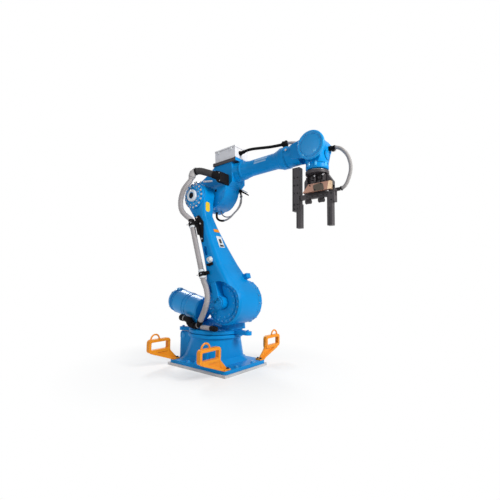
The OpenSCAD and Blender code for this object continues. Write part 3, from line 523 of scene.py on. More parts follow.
def spin(bm, profile, steps, place):
    """Adds a turned solid: profile is (radius, height) in millimetres, from the bottom up."""
    rings = []
    for radius, height in profile:
        spots = circle(radius, steps) if radius else [(0, 0)]
        rings.append([bm.verts.new(place @ (Vector((x, y, height)) * MM)) for x, y in spots])
    for low, high in zip(rings, rings[1:]):
        for k in range(steps):
            n = (k + 1) % steps
            corners = (low[k % len(low)], low[n % len(low)],
                       high[n % len(high)], high[k % len(high)])
            bm.faces.new(list(dict.fromkeys(corners)))
    for end in (list(reversed(rings[0])), rings[-1]):
        if len(end) > 1:
            bm.faces.new(end)


def slab(bm, outline, thick, place, edge):
    """Adds a plate: an outline in millimetres, with its top edge bevelled by edge."""
    middle = Vector((sum(p[0] for p in outline), sum(p[1] for p in outline), 0)) / len(outline)
    rings = []
    for height, inset in ((0, 0), (thick - edge, 0), (thick, edge)):
        ring = []
        for x, y in outline:
            p = Vector((x, y, 0))
            inward = (middle - p).normalized() * inset
            ring.append(bm.verts.new(place @ ((p + inward + Vector((0, 0, height))) * MM)))
        rings.append(ring)
    join_rings(bm, rings)


def rounded_outline(width, height, r, steps=5):
    """Outline of a rectangle with round corners, centred."""
    found = []
    for k, (sx, sy) in enumerate(((1, 1), (-1, 1), (-1, -1), (1, -1))):
        for i in range(steps + 1):
            a = math.pi / 2 * (k + i / steps)
            found.append((sx * (width / 2 - r) + r * math.cos(a),
                          sy * (height / 2 - r) + r * math.sin(a)))
    return found


def sweep(bm, points, radii, sides):
    """Adds a tube along points in metres, with a radius in metres for each point."""
    side = Vector((0.31, 0.9, 0.17))  # any direction that no tube starts along
    rings = []
    for i, point in enumerate(points):
        ahead = (points[min(i + 1, len(points) - 1)] - points[max(i - 1, 0)]).normalized()
        side = (side - ahead * side.dot(ahead)).normalized()
        other = ahead.cross(side)
        rings.append([bm.verts.new(point + x * side + y * other)
                      for x, y in circle(radii[i], sides)])
    join_rings(bm, rings)


def finish_piece(name, bm, finish, body, smooth_angle=35):
    """Turns bm into an object with its finish, smooth by angle, riding on a body."""
    bmesh.ops.recalc_face_normals(bm, faces=bm.faces)
    for face in bm.faces:
        face.smooth = True
    for edge in bm.edges:
        if len(edge.link_faces) == 2 and edge.calc_face_angle(0) > math.radians(smooth_angle):
            edge.smooth = False
    mesh = bpy.data.meshes.new(name)
    bm.to_mesh(mesh)
    bm.free()
    mesh.materials.append(finishes[finish])
    piece = bpy.data.objects.new(name, mesh)
    bpy.context.scene.collection.objects.link(piece)
    if body:
        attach(piece, body)
    return piece


def add_piece(name, body, finish, parts, smooth_angle=35, link=None):
    """One mesh of turned parts and plates. Each part is spin or slab, its profile or outline, its
    steps or thickness, its place and axis in the link's own directions, and a plate's bevel."""
    bm = bmesh.new()
    for make, shape, number, place, axis, *bevel in parts:
        make(bm, shape, number, at(link or LINKS[body], place, axis), *bevel)
    return finish_piece(name, bm, finish, body, smooth_angle)


# %% Screws
def hex_screw(bm, place, r):
    """Hexagon head on a round washer, r is half the width across corners."""
    spin(bm, [(r * 1.35, -0.3), (r * 1.35, r * 0.22), (r * 1.25, r * 0.3)], 20, place)
    spin(bm, [(r, r * 0.3), (r, r * 0.95), (r * 0.84, r * 1.08)], 6, place)


def socket_screw(bm, place, r):
    """Cylinder head with a hollow, r is the head's radius."""
    spin(bm, [(r, -0.3), (r, r * 0.95), (r * 0.92, r * 1.05), (r * 0.55, r * 1.05),
              (r * 0.5, r * 0.5), (0, r * 0.5)], 18, place)


def add_screws(name, body, spots, axis, r, finish="bolt_zinc", kind=socket_screw, link=None):
    """One mesh of like screws. Spots and axis are in the link's own directions."""
    bm = bmesh.new()
    for spot in spots:
        kind(bm, at(link or LINKS[body], spot, axis), r)
    finish_piece(name, bm, finish, body)
    print(name, len(spots), "screws")


def circle_xy(cx, cy, z, radius, count, first=0.0):
    """Spots on a circle that lies flat at height z."""
    return [(cx + x, cy + y, z) for x, y in circle(radius, count, first)]


def circle_xz(cx, y, cz, radius, count, first=0.0):
    """Spots on a circle in an upright plane along the reach, at y."""
    return [(cx + x, y, cz + z) for x, z in circle(radius, count, first)]


def circle_yz(x, cy, cz, radius, count, first=0.0):
    """Spots on a circle in an upright plane across the reach, at x."""
    return [(x, cy + y, cz + z) for y, z in circle(radius, count, first)]


# %% [markdown]
# ## Hoses
# The hoses are corrugated conduit in pale grey plastic, as on most such robots: a blown tube
# with a rib every centimetre or so, held by screwed clamps. Each route is a list of points in
# millimetres from the axis of the link that carries it, joined by a smooth curve. The hose past
# the elbow, the conduit over it and the leads under it lie a little apart from their solids.
# Five of the hoses cross a joint.

# %% Routes
shoulder_place = Matrix.Translation(SHOULDER)
elbow_place = Matrix.Translation(ELBOW)
LOWER_HOSE = [(-251, -262, -206), (-233, -270, -180), (-175, -296, -120), (-113, -318, -30),
              (-97, -320, 50), (-117, -320, 135), (-151, -320, 196), (-165, -320, 234)]
ARM_HOSE = [(-85, -320, up) for up in (322, 400, 511, 627, 731, 800)]
ELBOW_HOSE = [(-3, -320, -267), (-13, -321, -240), (-70, -336, -196), (-118, -354, -136),
              (-116, -370, -46), (-72, -378, 49), (-34, -364, 106), (-14, -347, 140),
              (2, -339, 182)]
ROLL_CABLE = [(395, -20, 448), (455, -20, 456), (535, -16, 454), (715, 0, 434), (815, 0, 425),
              (869, 0, 422)]
ELBOW_CONDUIT = [(5, -338, 188), (25, -330, 232), (85, -306, 240), (165, -274, 214),
                 (225, -249, 191), (266, -230, 171), (298, -214, 156)]
UNDERSIDE_LEADS = [(35, 0, -104), (40, 0, -182), (96, 5, -216), (160, 15, -212), (205, 25, -188),
                   (240, 40, -150), (282, 60, -100), (300, 80, -44), (301, 84, 12), (297, 86, 80)]
SECOND_LEADS = [(62, 34, -104), (76, 38, -140), (112, 40, -168), (160, 40, -178), (209, 42, -168),
                (246, 46, -142), (278, 52, -104), (304, 58, -58), (312, 60, -10)]
WRIST_HOSE = [(-294, 0, 128), (-228, 20, 121), (-138, 90, 103), (-48, 142, 85), (42, 158, 59),
              (100, 138, 19), (112, 87, -7)]
TOOL_HOSE = [(137, 34, -8), (160, 35, -11), (206, 40, -36), (258, 42, -108), (278, 44, -210),
             (252, 46, -306), (222, 46, -352), (190, 46, -367)]


# %% Hose maker
def smooth_route(link, route, steps=24):
    """Points in metres of a smooth curve through a route of a link."""
    points = [link @ (Vector(p) * MM) for p in route]
    last = len(points) - 1
    found = []
    for i in range(last):
        p0, p1, p2, p3 = points[max(i - 1, 0)], points[i], points[i + 1], points[min(i + 2, last)]
        for k in range(steps):
            t = k / steps
            found.append(0.5 * (2 * p1 + (p2 - p0) * t + (2 * p0 - 5 * p1 + 4 * p2 - p3) * t * t
                                + (3 * p1 - p0 - 3 * p2 + p3) * t ** 3))
    return found + [points[last]]


def even_points(points, step):
    """Points at an even distance along a line of points, and the length of the line."""
    found, gone, target = [points[0]], 0.0, step
    for a, b in zip(points, points[1:]):
        span = (b - a).length
        while gone + span >= target:
            found.append(a.lerp(b, (target - gone) / span))
            target += step
        gone += span
    if (found[-1] - points[-1]).length < step * 0.5:
        found[-1] = points[-1]
    else:
        found.append(points[-1])
    return found, gone


def add_hose(name, line, radius, finish, body, rib=0.0, pitch=0.011):
    """Tube along a line of points. With a rib height, its radius swells once every pitch."""
    points, length = even_points(line, pitch / 4 if rib else 0.006)
    radii = [radius - (rib if i % 4 in (0, 3) else 0.0) for i in range(len(points))]
    bm = bmesh.new()
    sweep(bm, points, radii, 20)
    piece = finish_piece(name, bm, finish, body, smooth_angle=70)
    print(name, "length", round(length, 3), "m, rings", len(points))
    return piece, length


def declare_hose(line, node):
    """Hides the CAD solid that the hose stands for."""
    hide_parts(node)
    [tuple(p) for p in even_points(line, 0.01)[0]]


# %% Hoses that cross a joint
HOSE_R, HOSE_RIB, HOSE_PITCH = 0.027, 0.0036, 0.015
CABLE_R, CABLE_PITCH = 0.014, 0.010
TOOL_HOSE_R = 0.016
lines = {}
for node, link, route, radius, finish, rib, bodies in (
        ("lower_hose", shoulder_place, LOWER_HOSE, HOSE_R, "hose_jacket", HOSE_RIB,
         ("turntable", "lower_arm")),
        ("elbow_hose", elbow_place, ELBOW_HOSE, HOSE_R, "hose_jacket", HOSE_RIB,
         ("lower_arm", "elbow")),
        ("roll_cable", elbow_place, ROLL_CABLE, CABLE_R, "black_plastic", 0.0012,
         ("elbow", "forearm")),
        ("wrist_hose", wrist_frame, WRIST_HOSE, CABLE_R, "hose_jacket", 0.0018,
         ("forearm", "wrist")),
        ("tool_hose", wrist_frame, TOOL_HOSE, TOOL_HOSE_R, "lead_grey", 0.0024,
         ("wrist", "tool"))):
    line = lines[node] = smooth_route(link, route)
    wide = radius == HOSE_R
    hose, length = add_hose(node + "_jacket", line, radius, finish, None, rib,
                            HOSE_PITCH if wide else CABLE_PITCH)
    declare_hose(line, node)
    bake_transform(hose)

# %% Hoses and leads that ride on one link
LEAD_R = 0.009
LEAD_SLEEVE_END = 62  # point of the line where the sleeve on the leads ends
arm_line = smooth_route(arm_frame, ARM_HOSE)
arm_hose, arm_hose_length = add_hose("arm_hose_jacket", arm_line, HOSE_R, "hose_jacket",
                                     "lower_arm", HOSE_RIB, HOSE_PITCH)
declare_hose(arm_line, "arm_hose")
lead_line = smooth_route(elbow_place, UNDERSIDE_LEADS)
leads, leads_length = add_hose("underside_lead_jacket", lead_line, LEAD_R, "lead_grey", "elbow")
declare_hose(lead_line, "underside_leads")
add_hose("underside_lead_sleeve", lead_line[:LEAD_SLEEVE_END], 0.0115, "black_plastic", "elbow")

# %% [markdown]
# The conduit over the elbow has three parts: a pale elbow that the hose screws into, a dark
# corrugated middle, and a black sleeve pushed into the block on the casing's side.

# %% Conduit over the elbow
CONDUIT_R = 0.036
BEND_END, SLEEVE_START, SLEEVE_RING = 34, 96, 126  # points of the line


def band(r, half):
    """Profile of a round band with bevelled edges, about its middle."""
    return [(r - 3, -half), (r, 2 - half), (r, half - 2), (r - 3, half)]


conduit_line = smooth_route(elbow_place, ELBOW_CONDUIT)
bend = add_hose("conduit_bend", conduit_line[:BEND_END + 1], CONDUIT_R, "conduit_grey", "elbow")[0]
add_hose("conduit_middle", conduit_line[BEND_END:SLEEVE_START + 1], 0.0345, "dark_boot", "elbow",
         0.002, 0.012)
add_hose("conduit_sleeve", conduit_line[SLEEVE_START:], CONDUIT_R, "black_plastic", "elbow")
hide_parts("elbow_conduit")
add_piece("conduit_collars", "elbow", "black_plastic",
    [(spin, band(r, 9), 28, conduit_line[k] / MM, conduit_line[k + 1] - conduit_line[k - 1])
     for k, r in ((BEND_END, 37.5), (SLEEVE_START, 37.5), (SLEEVE_RING, 37))], link=world_frame)


# %% [markdown]
# The hoses end in collars, screwed nuts with grip ribs in black, pale grey or white, except for
# the wrist hose, which has none.

# %% Hose collars
def add_nut(bm, place, r, long, teeth=16):
    """Screwed collar with grip ribs round it."""
    spin(bm, [(r, -0.5), (r + 3, 0), (r + 3, long * 0.3), (r + 1.5, long * 0.34),
              (r + 1.5, long * 0.9), (r, long)], 28, place)
    for k in range(teeth):
        turned = place @ Matrix.Rotation(2 * math.pi * k / teeth, 4, "Z")
        rib_place = turned @ Matrix.Translation(Vector((r + 1, 0, long * 0.36)) * MM)
        slab(bm, [(-1, -1.6), (2.4, -1.2), (2.4, 1.2), (-1, 1.6)], long * 0.5, rib_place, 0.4)


for name, finish, body, collars in (
        ("lower_hose_nut", "black_plastic", "turntable", [(lines["lower_hose"], 0, 28, 30)]),
        ("arm_hose_bands", "white_enamel", "lower_arm",
         [(arm_line, 1, 28, 22), (arm_line, -9, 28, 22), (lines["lower_hose"], -10, 28, 20)]),
        ("elbow_hose_band", "black_plastic", "lower_arm", [(lines["elbow_hose"], 6, 28, 22)]),
        ("elbow_hose_nut", "conduit_grey", "elbow", [(lines["elbow_hose"], -8, 28, 24)]),
        ("roll_cable_nut", "black_plastic", "elbow", [(lines["roll_cable"], 1, 14.5, 26)]),
        ("roll_cable_end_nut", "black_plastic", "forearm",
         [(lines["roll_cable"], -10, 14.5, 24)]),
        ("tool_hose_nut", "black_plastic", "wrist", [(lines["tool_hose"], 1, 16.0, 16)]),
        ("tool_hose_end_nut", "black_plastic", "tool", [(lines["tool_hose"], -10, 16.2, 10)])):
    bm = bmesh.new()
    for line, index, r, long in collars:
        index %= len(line)
        ahead = line[index + 1] - line[max(index - 1, 0)]
        add_nut(bm, at(world_frame, line[index] / MM, ahead), r, long)
    finish_piece(name, bm, finish, body)

# %% [markdown]
# ## Foot
# Eight anchors hold the floor plate, and each fork bracket stands on two screws. The brackets
# are welded from plate and bar, so a bead runs where the eye and the gusset meet the pocket.

# %% Foot screws
FLANGE_TOP = 57
PLATE_X = 30
BRACKET_X = 345
corners = [(sx, sy) for sx in (-1, 1) for sy in (-1, 1)]
anchor_spots = [(PLATE_X + sx * x, sy * y, FLANGE_TOP)
                for x, y in ((355, 120), (120, 278.5)) for sx, sy in corners]
add_screws("anchor_screws", "base", anchor_spots, UP, 15, "bolt_blue", kind=hex_screw)
foot_spots = [(PLATE_X + sx * BRACKET_X + dx, sy * 248, FLANGE_TOP + 14)
              for sx, sy in corners for dx in (-18, 18)]
add_screws("bracket_screws", "base", foot_spots, UP, 11, "bolt_black", kind=hex_screw)


# %% Weld beads of the brackets
def bead(bm, points, r, seed):
    """Weld bead: a thin tube whose radius ripples as the weld pool did."""
    line = even_points([Vector(p) * MM for p in points], 0.003)[0]
    radii = [r * (1 + 0.22 * math.sin(i * 2.1 + seed)) for i in range(len(line))]
    sweep(bm, line, radii, 8)


def bracket_beads():
    """Beads along the gusset of each bracket, and round the two feet of its eye."""
    bm = bmesh.new()
    for sx, sy in corners:
        x = PLATE_X + sx * BRACKET_X
        for side in (-7, 7):
            for r, seed, path in ((0.004, sx, ((340, 158), (342, 190), (344, 255))),
                                  (0.0035, sy, ((300, 72), (330, 100), (342, 156)))):
                bead(bm, [(x + side, sy * y, z) for y, z in path], r, seed)
        for eye in (-49, 49):
            ring = circle_xy(x, sy * (514 + eye), FLANGE_TOP + 224, 9, 16)
            bead(bm, ring + ring[:1], 0.003, eye)
    finish_piece("bracket_welds", bm, "orange_enamel", "base", 60)


bracket_beads()

# %% Sealing bars on the rear box
# The bars are in the blue's lit colour, a painted highlight.
add_piece("rear_box_bars", "base", "lit_blue_paint",
    [(slab, rounded_outline(9, 46, 3), 5, (x, -190, 284), SIDE, 1.5) for x in (-318, -292, -266)])

# %% [markdown]
# ## Turntable and swing motor
# The turntable is screwed to the swing bearing by a ring of socket screws. The swing motor lies
# behind the shoulder under a domed cap; its body has turned ridges that catch the light.

# %% Turntable screws
TABLE_TOP = 373
table_spots = [s for s in circle_xy(0, 0, TABLE_TOP, 246, 28)
               if not (-190 < s[0] < 290 and -80 < s[1] < 200)
               and not (-165 < s[0] < 40 and s[1] < -40)
               and not (0 < s[0] < 180 and -290 < s[1] < -200)]
add_screws("table_screws", "turntable", table_spots, UP, 8, "bolt_blue")
lug_spots = [circle_xy(0, 0, TABLE_TOP - 2, r, 1, degrees)[0]
             for r, degrees in ((414, 1), (347, -150))]
add_screws("lug_screws", "turntable", lug_spots, UP, 13, "bolt_blue", kind=hex_screw)

# %% Radial screws round the shoulder drum
DRUM_R = 209
bm = bmesh.new()
for degrees in range(-66, 61, 21):
    outward = circle_xz(0, 0, 0, 1, 1, degrees)[0]
    for y in (84, 108):
        hex_screw(bm, at(shoulder_place, Vector(outward) * DRUM_R + Vector((0, y, 0)), outward), 9)
finish_piece("drum_rim_screws", bm, "bolt_blue", "turntable")

# %% Swing motor trim
MOTOR_TILT = math.radians(12.5)
motor_frame = (Matrix.Translation(Vector((-528, -118, 652)) * MM)
               @ Matrix.Rotation(MOTOR_TILT, 4, "Y"))
add_piece("motor_ridges", "turntable", "blue_enamel",
    [(spin, [(126, 0), (130, 2), (130, 9), (126, 11)], 64, (x, 0, 0), FRONT) for x in (112, 262)],
    link=motor_frame)
# The top block is in the blue's lit colour, a painted highlight on the motor's top.
add_piece("motor_top_block", "turntable", "lit_blue_paint",
    [(slab, rounded_outline(54, 62, 6), 17, (97, -20, 118), UP, 3),
     (slab, rounded_outline(34, 40, 4), 8, (97, -20, 134), UP, 2)], link=motor_frame)
add_screws("motor_cap_screws", "turntable", circle_yz(41, 0, 0, 112, 4, 45), BACK, 7,
    link=motor_frame)


def plug_profile(r, long):
    """Profile of a cable plug with rounded ends, about its middle."""
    half = long / 2
    return [(r - 9, -half), (r - 2, 3 - half), (r, 8 - half),
            (r, half - 8), (r - 2, half - 3), (r - 9, half)]


add_piece("motor_plug_collars", "turntable", "lead_grey",
    [(spin, band(r, 8), 24, place, axis) for place, axis, r in (
        ((-180, -268, 473), (1, 0, -0.12), 29), ((-106, -267, 441), (0.5, 0, -0.86), 33),
        ((-60, -258, 412), (0.97, 0.1, -0.2), 29), ((-6, -252, 413), (1, 0, 0.3), 25))])
add_piece("motor_plug_bodies", "turntable", "black_plastic",
    [(spin, plug_profile(r, long), 28, place, axis) for place, axis, r, long in (
        ((-208, -268, 477), (1, 0, -0.12), 34, 52), ((-106, -267, 449), (0.5, 0, -0.86), 37, 56),
        ((-62, -258, 413), (1, 0.06, -0.1), 31, 46), ((-22, -252, 408), (1, 0, 0.2), 27, 40))])

# %% [markdown]
# ## Lower arm
# A hub with a recessed cover at the shoulder, and a bearing cover with a bright bolt ring at the
# elbow. The hose runs up the outside in two clamps and a black bracket plate. The plates on
# the front are left plain.

# %% Hub and head screws
RECESS_Y = -209
HEAD_UP, HEAD_FACE = 1100, -306
hub_spots = [s for s in circle_xz(0, RECESS_Y, 0, 136, 14, 8) if not (-64 < s[0] < 40 and s[2] > 0)]
add_screws("hub_cover_screws", "lower_arm", hub_spots, SIDE, 8, "bolt_blue")
rim_spots = [s for s in circle_xz(0, -200, 0, 176, 22, 4) if not (-60 < s[0] < 40 and s[2] > 0)]
add_screws("hub_floor_screws", "lower_arm", rim_spots, SIDE, 9, "bolt_blue", kind=hex_screw)
add_piece("hub_boss_cap", "lower_arm", "blue_enamel",
    [(spin, [(48, 0), (48, 5), (44, 8), (20, 8), (18, 6), (0, 6)], 40, (0, -274, 0), SIDE)])
add_screws("boss_screws", "lower_arm", circle_xz(0, -281, 0, 33, 6), SIDE, 4, "bolt_blue")
add_screws("head_screws", "lower_arm", circle_xz(0, HEAD_FACE, HEAD_UP, 116, 16, 6), SIDE, 8.5,
    kind=hex_screw)
add_screws("head_rim_screws", "lower_arm", circle_xz(0, HEAD_FACE - 11, HEAD_UP, 90, 12), SIDE, 6)
add_piece("head_white_ring", "lower_arm", "white_enamel",
    [(spin, [(60, 6), (60, 31), (56, 35), (37, 35), (34, 31), (34, 6)], 44,
     (0, HEAD_FACE, HEAD_UP), SIDE)])
add_piece("head_centre_plug", "lower_arm", "black_plastic",
    [(spin, [(33, 24), (33, 27), (28, 30), (0, 30)], 32, (0, HEAD_FACE, HEAD_UP), SIDE)])

# %% Plates, bracket screws and clip on the lower arm
BRACKET_FACE = -300
FRONT_PLACES = {968: (97, -236, -0.28), 690: (81.5, -174, 0.086), 570: (93, -164, 0.12)}


def front_plate(name, finish, up, *parts):
    """Plates on the front face of the arm, at a height up the arm. Each part is its width,
    height, corner radius, thickness, rise along the face and bevel."""
    x, y, slope = FRONT_PLACES[up]
    face = at(arm_frame, (x, y, up), (1, 0, slope))
    bm = bmesh.new()
    for width, height, r, thick, rise, bevel in parts:
        slab(bm, rounded_outline(width, height, r), thick,
             face @ Matrix.Translation((0, rise * MM, 0)), bevel)
    finish_piece(name, bm, finish, "lower_arm")


front_plate("front_plate_yellow", "yellow_plate", 968, (56, 98, 20, 3, -20, 0.8))
front_plate("front_plate_orange", "orange_enamel", 690, (72, 32, 8, 2.5, 12, 0.8))
front_plate("front_plate_white", "white_enamel", 570, (74, 124, 4, 2.5, 10, 0.8))
front_plate("front_plate_panels", "dark_boot", 570, (52, 22, 3, 3.4, -34, 0.5),
            (34, 48, 3, 3.4, 16, 0.5))
add_piece("fitting_clip", "lower_arm", "black_plastic",
    [(slab, rounded_outline(52, 26, 4), 14, (26, -288, 366), SIDE, 3),
     (spin, [(12, 0), (12, 20), (9, 24), (0, 24)], 20, (8, -300, 366), SIDE)])
add_screws("bracket_plate_screws", "lower_arm",
    [(x, BRACKET_FACE, z) for x, z in ((-18, 870), (-10, 640), (12, 790), (-34, 820))], SIDE, 8)
add_screws("clamp_screws", "lower_arm", [(x, -357, z) for z in (300, 822) for x in (-112, -58)],
    SIDE, 6)

# %% [markdown]
# ## Elbow casing and box
# The casing is closed by screwed covers. Its lower lobe stands further out than the plain solid,
# so a cast shell of the same blue goes round it. The box on top has a lid with a sealing gap
# and four corner screws.

# %% Lower lobe of the casing
LOBE_X, LOBE_Z, LOBE_R = 104, 74, 184
CASING_FACE = 138.5


def lobe_outline(top):
    """Outline of the lobe: an arc up to a height, closed through the casing."""
    last = math.degrees(math.asin((top - LOBE_Z) / LOBE_R))
    points = [(LOBE_X + LOBE_R * math.cos(a), LOBE_Z + LOBE_R * math.sin(a))
              for a in (math.radians(-125 + (last + 125) * k / 40) for k in range(41))]
    return points + [(-50, top), (-50, 20)]


def casing_lobe():
    """Shell of the lobe, from its right face to its left one, with rounded rims."""
    bm = bmesh.new()
    rings = []
    for y, top, inset in ((-CASING_FACE, 97, 7), (-CASING_FACE + 3, 100, 2),
                          (-CASING_FACE + 9, 106, 0), (-101, 139, 0), (56, 139, 0),
                          (63, 139, 2), (66, 139, 7)):
        ring = []
        for x, z in lobe_outline(top):
            inward = Vector((LOBE_X - x, 0, LOBE_Z - z)).normalized() * inset
            ring.append(bm.verts.new(elbow_frame @ ((Vector((x, y, z)) + inward) * MM)))
        rings.append(ring)
    join_rings(bm, rings)
    finish_piece("casing_lobe", bm, "blue_enamel", "elbow", 40)


casing_lobe()

# %% Block that the conduit ends in
conduit_block = add_piece("conduit_block", "elbow", "black_plastic",
    [(slab, [(262, 116), (282, 94), (322, 94), (322, 194), (262, 218)], 72,
      (0, -182, 0), SIDE, 4),
     (slab, [(262, 116), (282, 94), (296, 94), (296, 204), (262, 218)], 84,
      (0, -99, 0), SIDE, 1)])
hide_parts("conduit_boot")
add_screws("conduit_block_screws", "elbow", [(310, -254, 182), (312, -254, 106)], SIDE, 4)

# %% Clip and rod at the front of the casing
bm = bmesh.new()
slab(bm, [(272, 74), (290, 54), (306, 62), (366, 27), (404, 4), (410, 12), (372, 40), (300, 90)],
     12, at(elbow_frame, (0, 78, 0), SIDE), 2)
slab(bm, [(296, 34), (305, 34), (305, 68), (296, 68)], 24, at(elbow_frame, (0, 90, 0), SIDE), 1)
eye = circle_xz(300, 84, 18, 13, 24)
sweep(bm, [elbow_frame @ (Vector(p) * MM) for p in eye + eye[:1]], [0.0045] * 25, 10)
clip = finish_piece("clip_strap", bm, "black_plastic", "elbow")
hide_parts("lead_clip")
bm = bmesh.new()
rod = ((300, 60, 96), (352, 60, 66), (402, 60, 34))
sweep(bm, [elbow_frame @ (Vector(p) * MM) for p in rod], [0.004] * 3, 10)
finish_piece("clip_rod", bm, "machined_steel", "elbow")

# %% Second loop of leads under the casing
add_hose("second_lead_jacket", smooth_route(elbow_place, SECOND_LEADS), 0.006, "lead_grey",
         "elbow")
add_piece("lead_boots", "elbow", "black_plastic",
    [(spin, [(20, -34), (20, -6), (15, 0), (12, 12), (0, 12)], 24, (35, 0, -110), (0.03, 0, -1)),
     (spin, [(13, -30), (13, -4), (9, 6), (0, 6)], 20, (64, 34, -106), (0.2, 0, -1))],
    link=elbow_place)

# %% Casing screws and covers
add_screws("lobe_screws", "elbow",
    [circle_xz(LOBE_X, -CASING_FACE, LOBE_Z, 166, 1, degrees)[0] for degrees in (-62, -38, -14)],
    SIDE, 6, "bolt_blue")
add_piece("casing_plug", "elbow", "black_plastic",
    [(slab, rounded_outline(26, 26, 3), 3, (150, -CASING_FACE, 62), SIDE, 1)])
add_piece("casing_left_cover", "elbow", "blue_enamel",
    [(spin, [(96, 0), (96, 6), (90, 10), (62, 10), (58, 6), (0, 6)], 56,
      (LOBE_X, 66, LOBE_Z), LEFT)])
add_screws("left_cover_screws", "elbow", circle_xz(LOBE_X, 76, LOBE_Z, 76, 10), LEFT, 6)

# %% Front edge of the box plate, in the casting blue; the rest of the plate is black as painted shade
add_piece("box_plate_front", "elbow", "blue_enamel",
    [(slab, rounded_outline(225, 33, 3), 3, (394.5, 0, 349), FRONT, 1)])

# %% Pale plate and screws on the side of the casing, above the arm's head; the pale plate is a painted highlight
SIDE_PLATE_UP, SIDE_PLATE_FALL = 200, 0.16
side_place = at(elbow_frame, (0, -100, SIDE_PLATE_UP), SIDE)
# The white plate is a painted highlight: a pale strip where the casing's side is bright with
# highlights.
bm = bmesh.new()
slab(bm, rounded_outline(132, 20, 4), 5, side_place @ Matrix.Rotation(-SIDE_PLATE_FALL, 4, "Z"),
     1.5)
finish_piece("casing_highlight_plate", bm, "white_enamel", "elbow")
add_screws("casing_side_screws", "elbow",
    [(x, -105, SIDE_PLATE_UP - SIDE_PLATE_FALL * x) for x in (-52, -18, 16, 50)], SIDE, 8,
    kind=hex_screw)

# %% Box trim: seal, screws and latches
add_piece("box_seal", "elbow", "lead_grey",
    [(slab, rounded_outline(long, 3, 1.4), 2, place, axis, 0.5) for long, place, axis in (
        (262, (245.5, -101, 480), SIDE), (262, (245.5, 101, 480), LEFT),
        (190, (110, 0, 480), BACK), (190, (381, 0, 480), FRONT))])
add_screws("box_lid_screws", "elbow", [(x, y, 496) for x in (126, 366) for y in (-84, 84)], UP, 6)
add_screws("box_plate_screws", "elbow", [(x, y, 365) for x in (98, 386) for y in (-106, 106)], UP,
    6, "bolt_black", kind=hex_screw)
add_piece("box_latches", "elbow", "motor_metal",
    [(slab, rounded_outline(22, 34, 4), 4, (x, -99.5, 470), SIDE, 1) for x in (160, 330)])

# %% Wrist motors: fins and plugs
fins, plugs = [], []
for y, z, r in ((-52, 196, 48), (52, 196, 48), (0, 98, 44)):
    fins += [(spin, [(r - 1, 0), (r + 2, 1), (r + 2, 5), (r - 1, 6)], 40, (x, y, z), FRONT)
             for x in (-232, -214, -196, -178)]
    fins += [(spin, [(r - 14, 0), (r - 16, 5), (0, 5)], 32, (-276, y, z), BACK)]
    plugs += [(slab, rounded_outline(30, 26, 5), 18, (-226, y, z + 42), UP, 3),
              (spin, [(9, 0), (9, 16), (7, 20), (0, 20)], 18, (-240, y, z + 52), (-1, 0, 0.1))]
add_piece("wrist_motor_fins", "elbow", "motor_metal", fins)
add_piece("wrist_motor_plugs", "elbow", "black_plastic", plugs)

# %% [markdown]
# ## Forearm and wrist
# The forearm is a turned tube with a screwed joint near the wrist, and two pale bare strips
# along its right side. The large round cover over the bend gear has a raised rim and eight
# buried screws. Fine screw heads ring the wrist below it.

# %% Forearm screws and strips
FOREARM_Z = 246
STRIP_R = 77.2
for name, x, r, count, axis in (("root_screws", 421, 84, 14, FRONT),
                                ("forearm_joint_screws", 876, 92, 12, BACK)):
    add_screws(name, "forearm", circle_yz(x, 0, FOREARM_Z, r, count, 180 / count), axis, 5,
        "bolt_blue")


def forearm_strip(name, start, end, low, high):
    """Thin curved strip on the right side of the forearm tube, between two angles in degrees."""
    bm = bmesh.new()
    rings = []
    for k in range(9):
        a = math.radians(low + (high - low) * k / 8)
        corners = [(x, -h * math.cos(a), FOREARM_Z + h * math.sin(a))
                   for x, h in ((start, STRIP_R - 2), (start, STRIP_R),
                                (end, STRIP_R), (end, STRIP_R - 2))]
        rings.append([bm.verts.new(elbow_frame @ (Vector(p) * MM)) for p in corners])
    join_rings(bm, rings)
    finish_piece(name, bm, "pale_blue", "forearm", 40)


forearm_strip("forearm_strip_upper", 596, 742, 20, 38)
forearm_strip("forearm_strip_lower", 594, 732, 2, 14)

# %% Seam rings of the forearm
add_piece("forearm_rings", "forearm", "blue_enamel",
    [(spin, [(r - 3, 0), (r, 1), (r, 4), (r - 3, 5)], 72, (x, 0, FOREARM_Z), FRONT)
     for x, r in ((866, 93), (934, 100.5), (940, 99))])
add_screws("wrist_end_bolt", "forearm", [(966, -94, 280), (966, 94, 280)], (0, -1, 0.35), 8,
    kind=hex_screw)

# %% Large cover over the wrist
COVER_FACE = -127
wrist_axis = elbow_frame @ Matrix.Translation(Vector((1224, 0, FOREARM_Z)) * MM)
add_piece("wrist_cover_rim", "forearm", "blue_gloss",
    [(spin, [(122.5, -3), (123.4, 0), (118, 6), (112, 7), (106, 6), (102, 1), (94, 0.6),
     (89, 4.4), (84, 5.6), (78, 6), (0, 7)], 80, (0, COVER_FACE + 2, 0), SIDE)], 50,
    link=wrist_axis)
add_screws("cover_screws", "forearm", circle_xz(0, COVER_FACE + 1, 0, 97.5, 8, 22), SIDE, 5,
    "bolt_blue", link=wrist_axis)
# The plugs are in the blue's lit colour, painted highlights on the cover.
add_piece("cover_plugs", "forearm", "lit_blue_paint",
    [(spin, [(14, 0), (14, 3), (12, 5), (6, 5), (5, 3), (0, 3)], 28, (38, COVER_FACE - 2, -62),
     SIDE), (spin, [(11, 0), (11, 3), (9, 5), (0, 5)], 28, (-72, COVER_FACE + 1, -74), SIDE)],
    link=wrist_axis)
add_screws("left_wrist_screws", "forearm", circle_xz(0, 119, 0, 58, 8), LEFT, 5, link=wrist_axis)

# %% Clamp on the forearm
add_piece("cable_clamp_bands", "forearm", "black_plastic",
    [(spin, [(27, 0), (29, 2), (29, 8), (27, 10)], 28, (x, 0, 386), FRONT) for x in (884, 916)])
add_screws("cable_clamp_screws", "forearm", [(910, y, 366) for y in (-12, 12)], UP, 4)

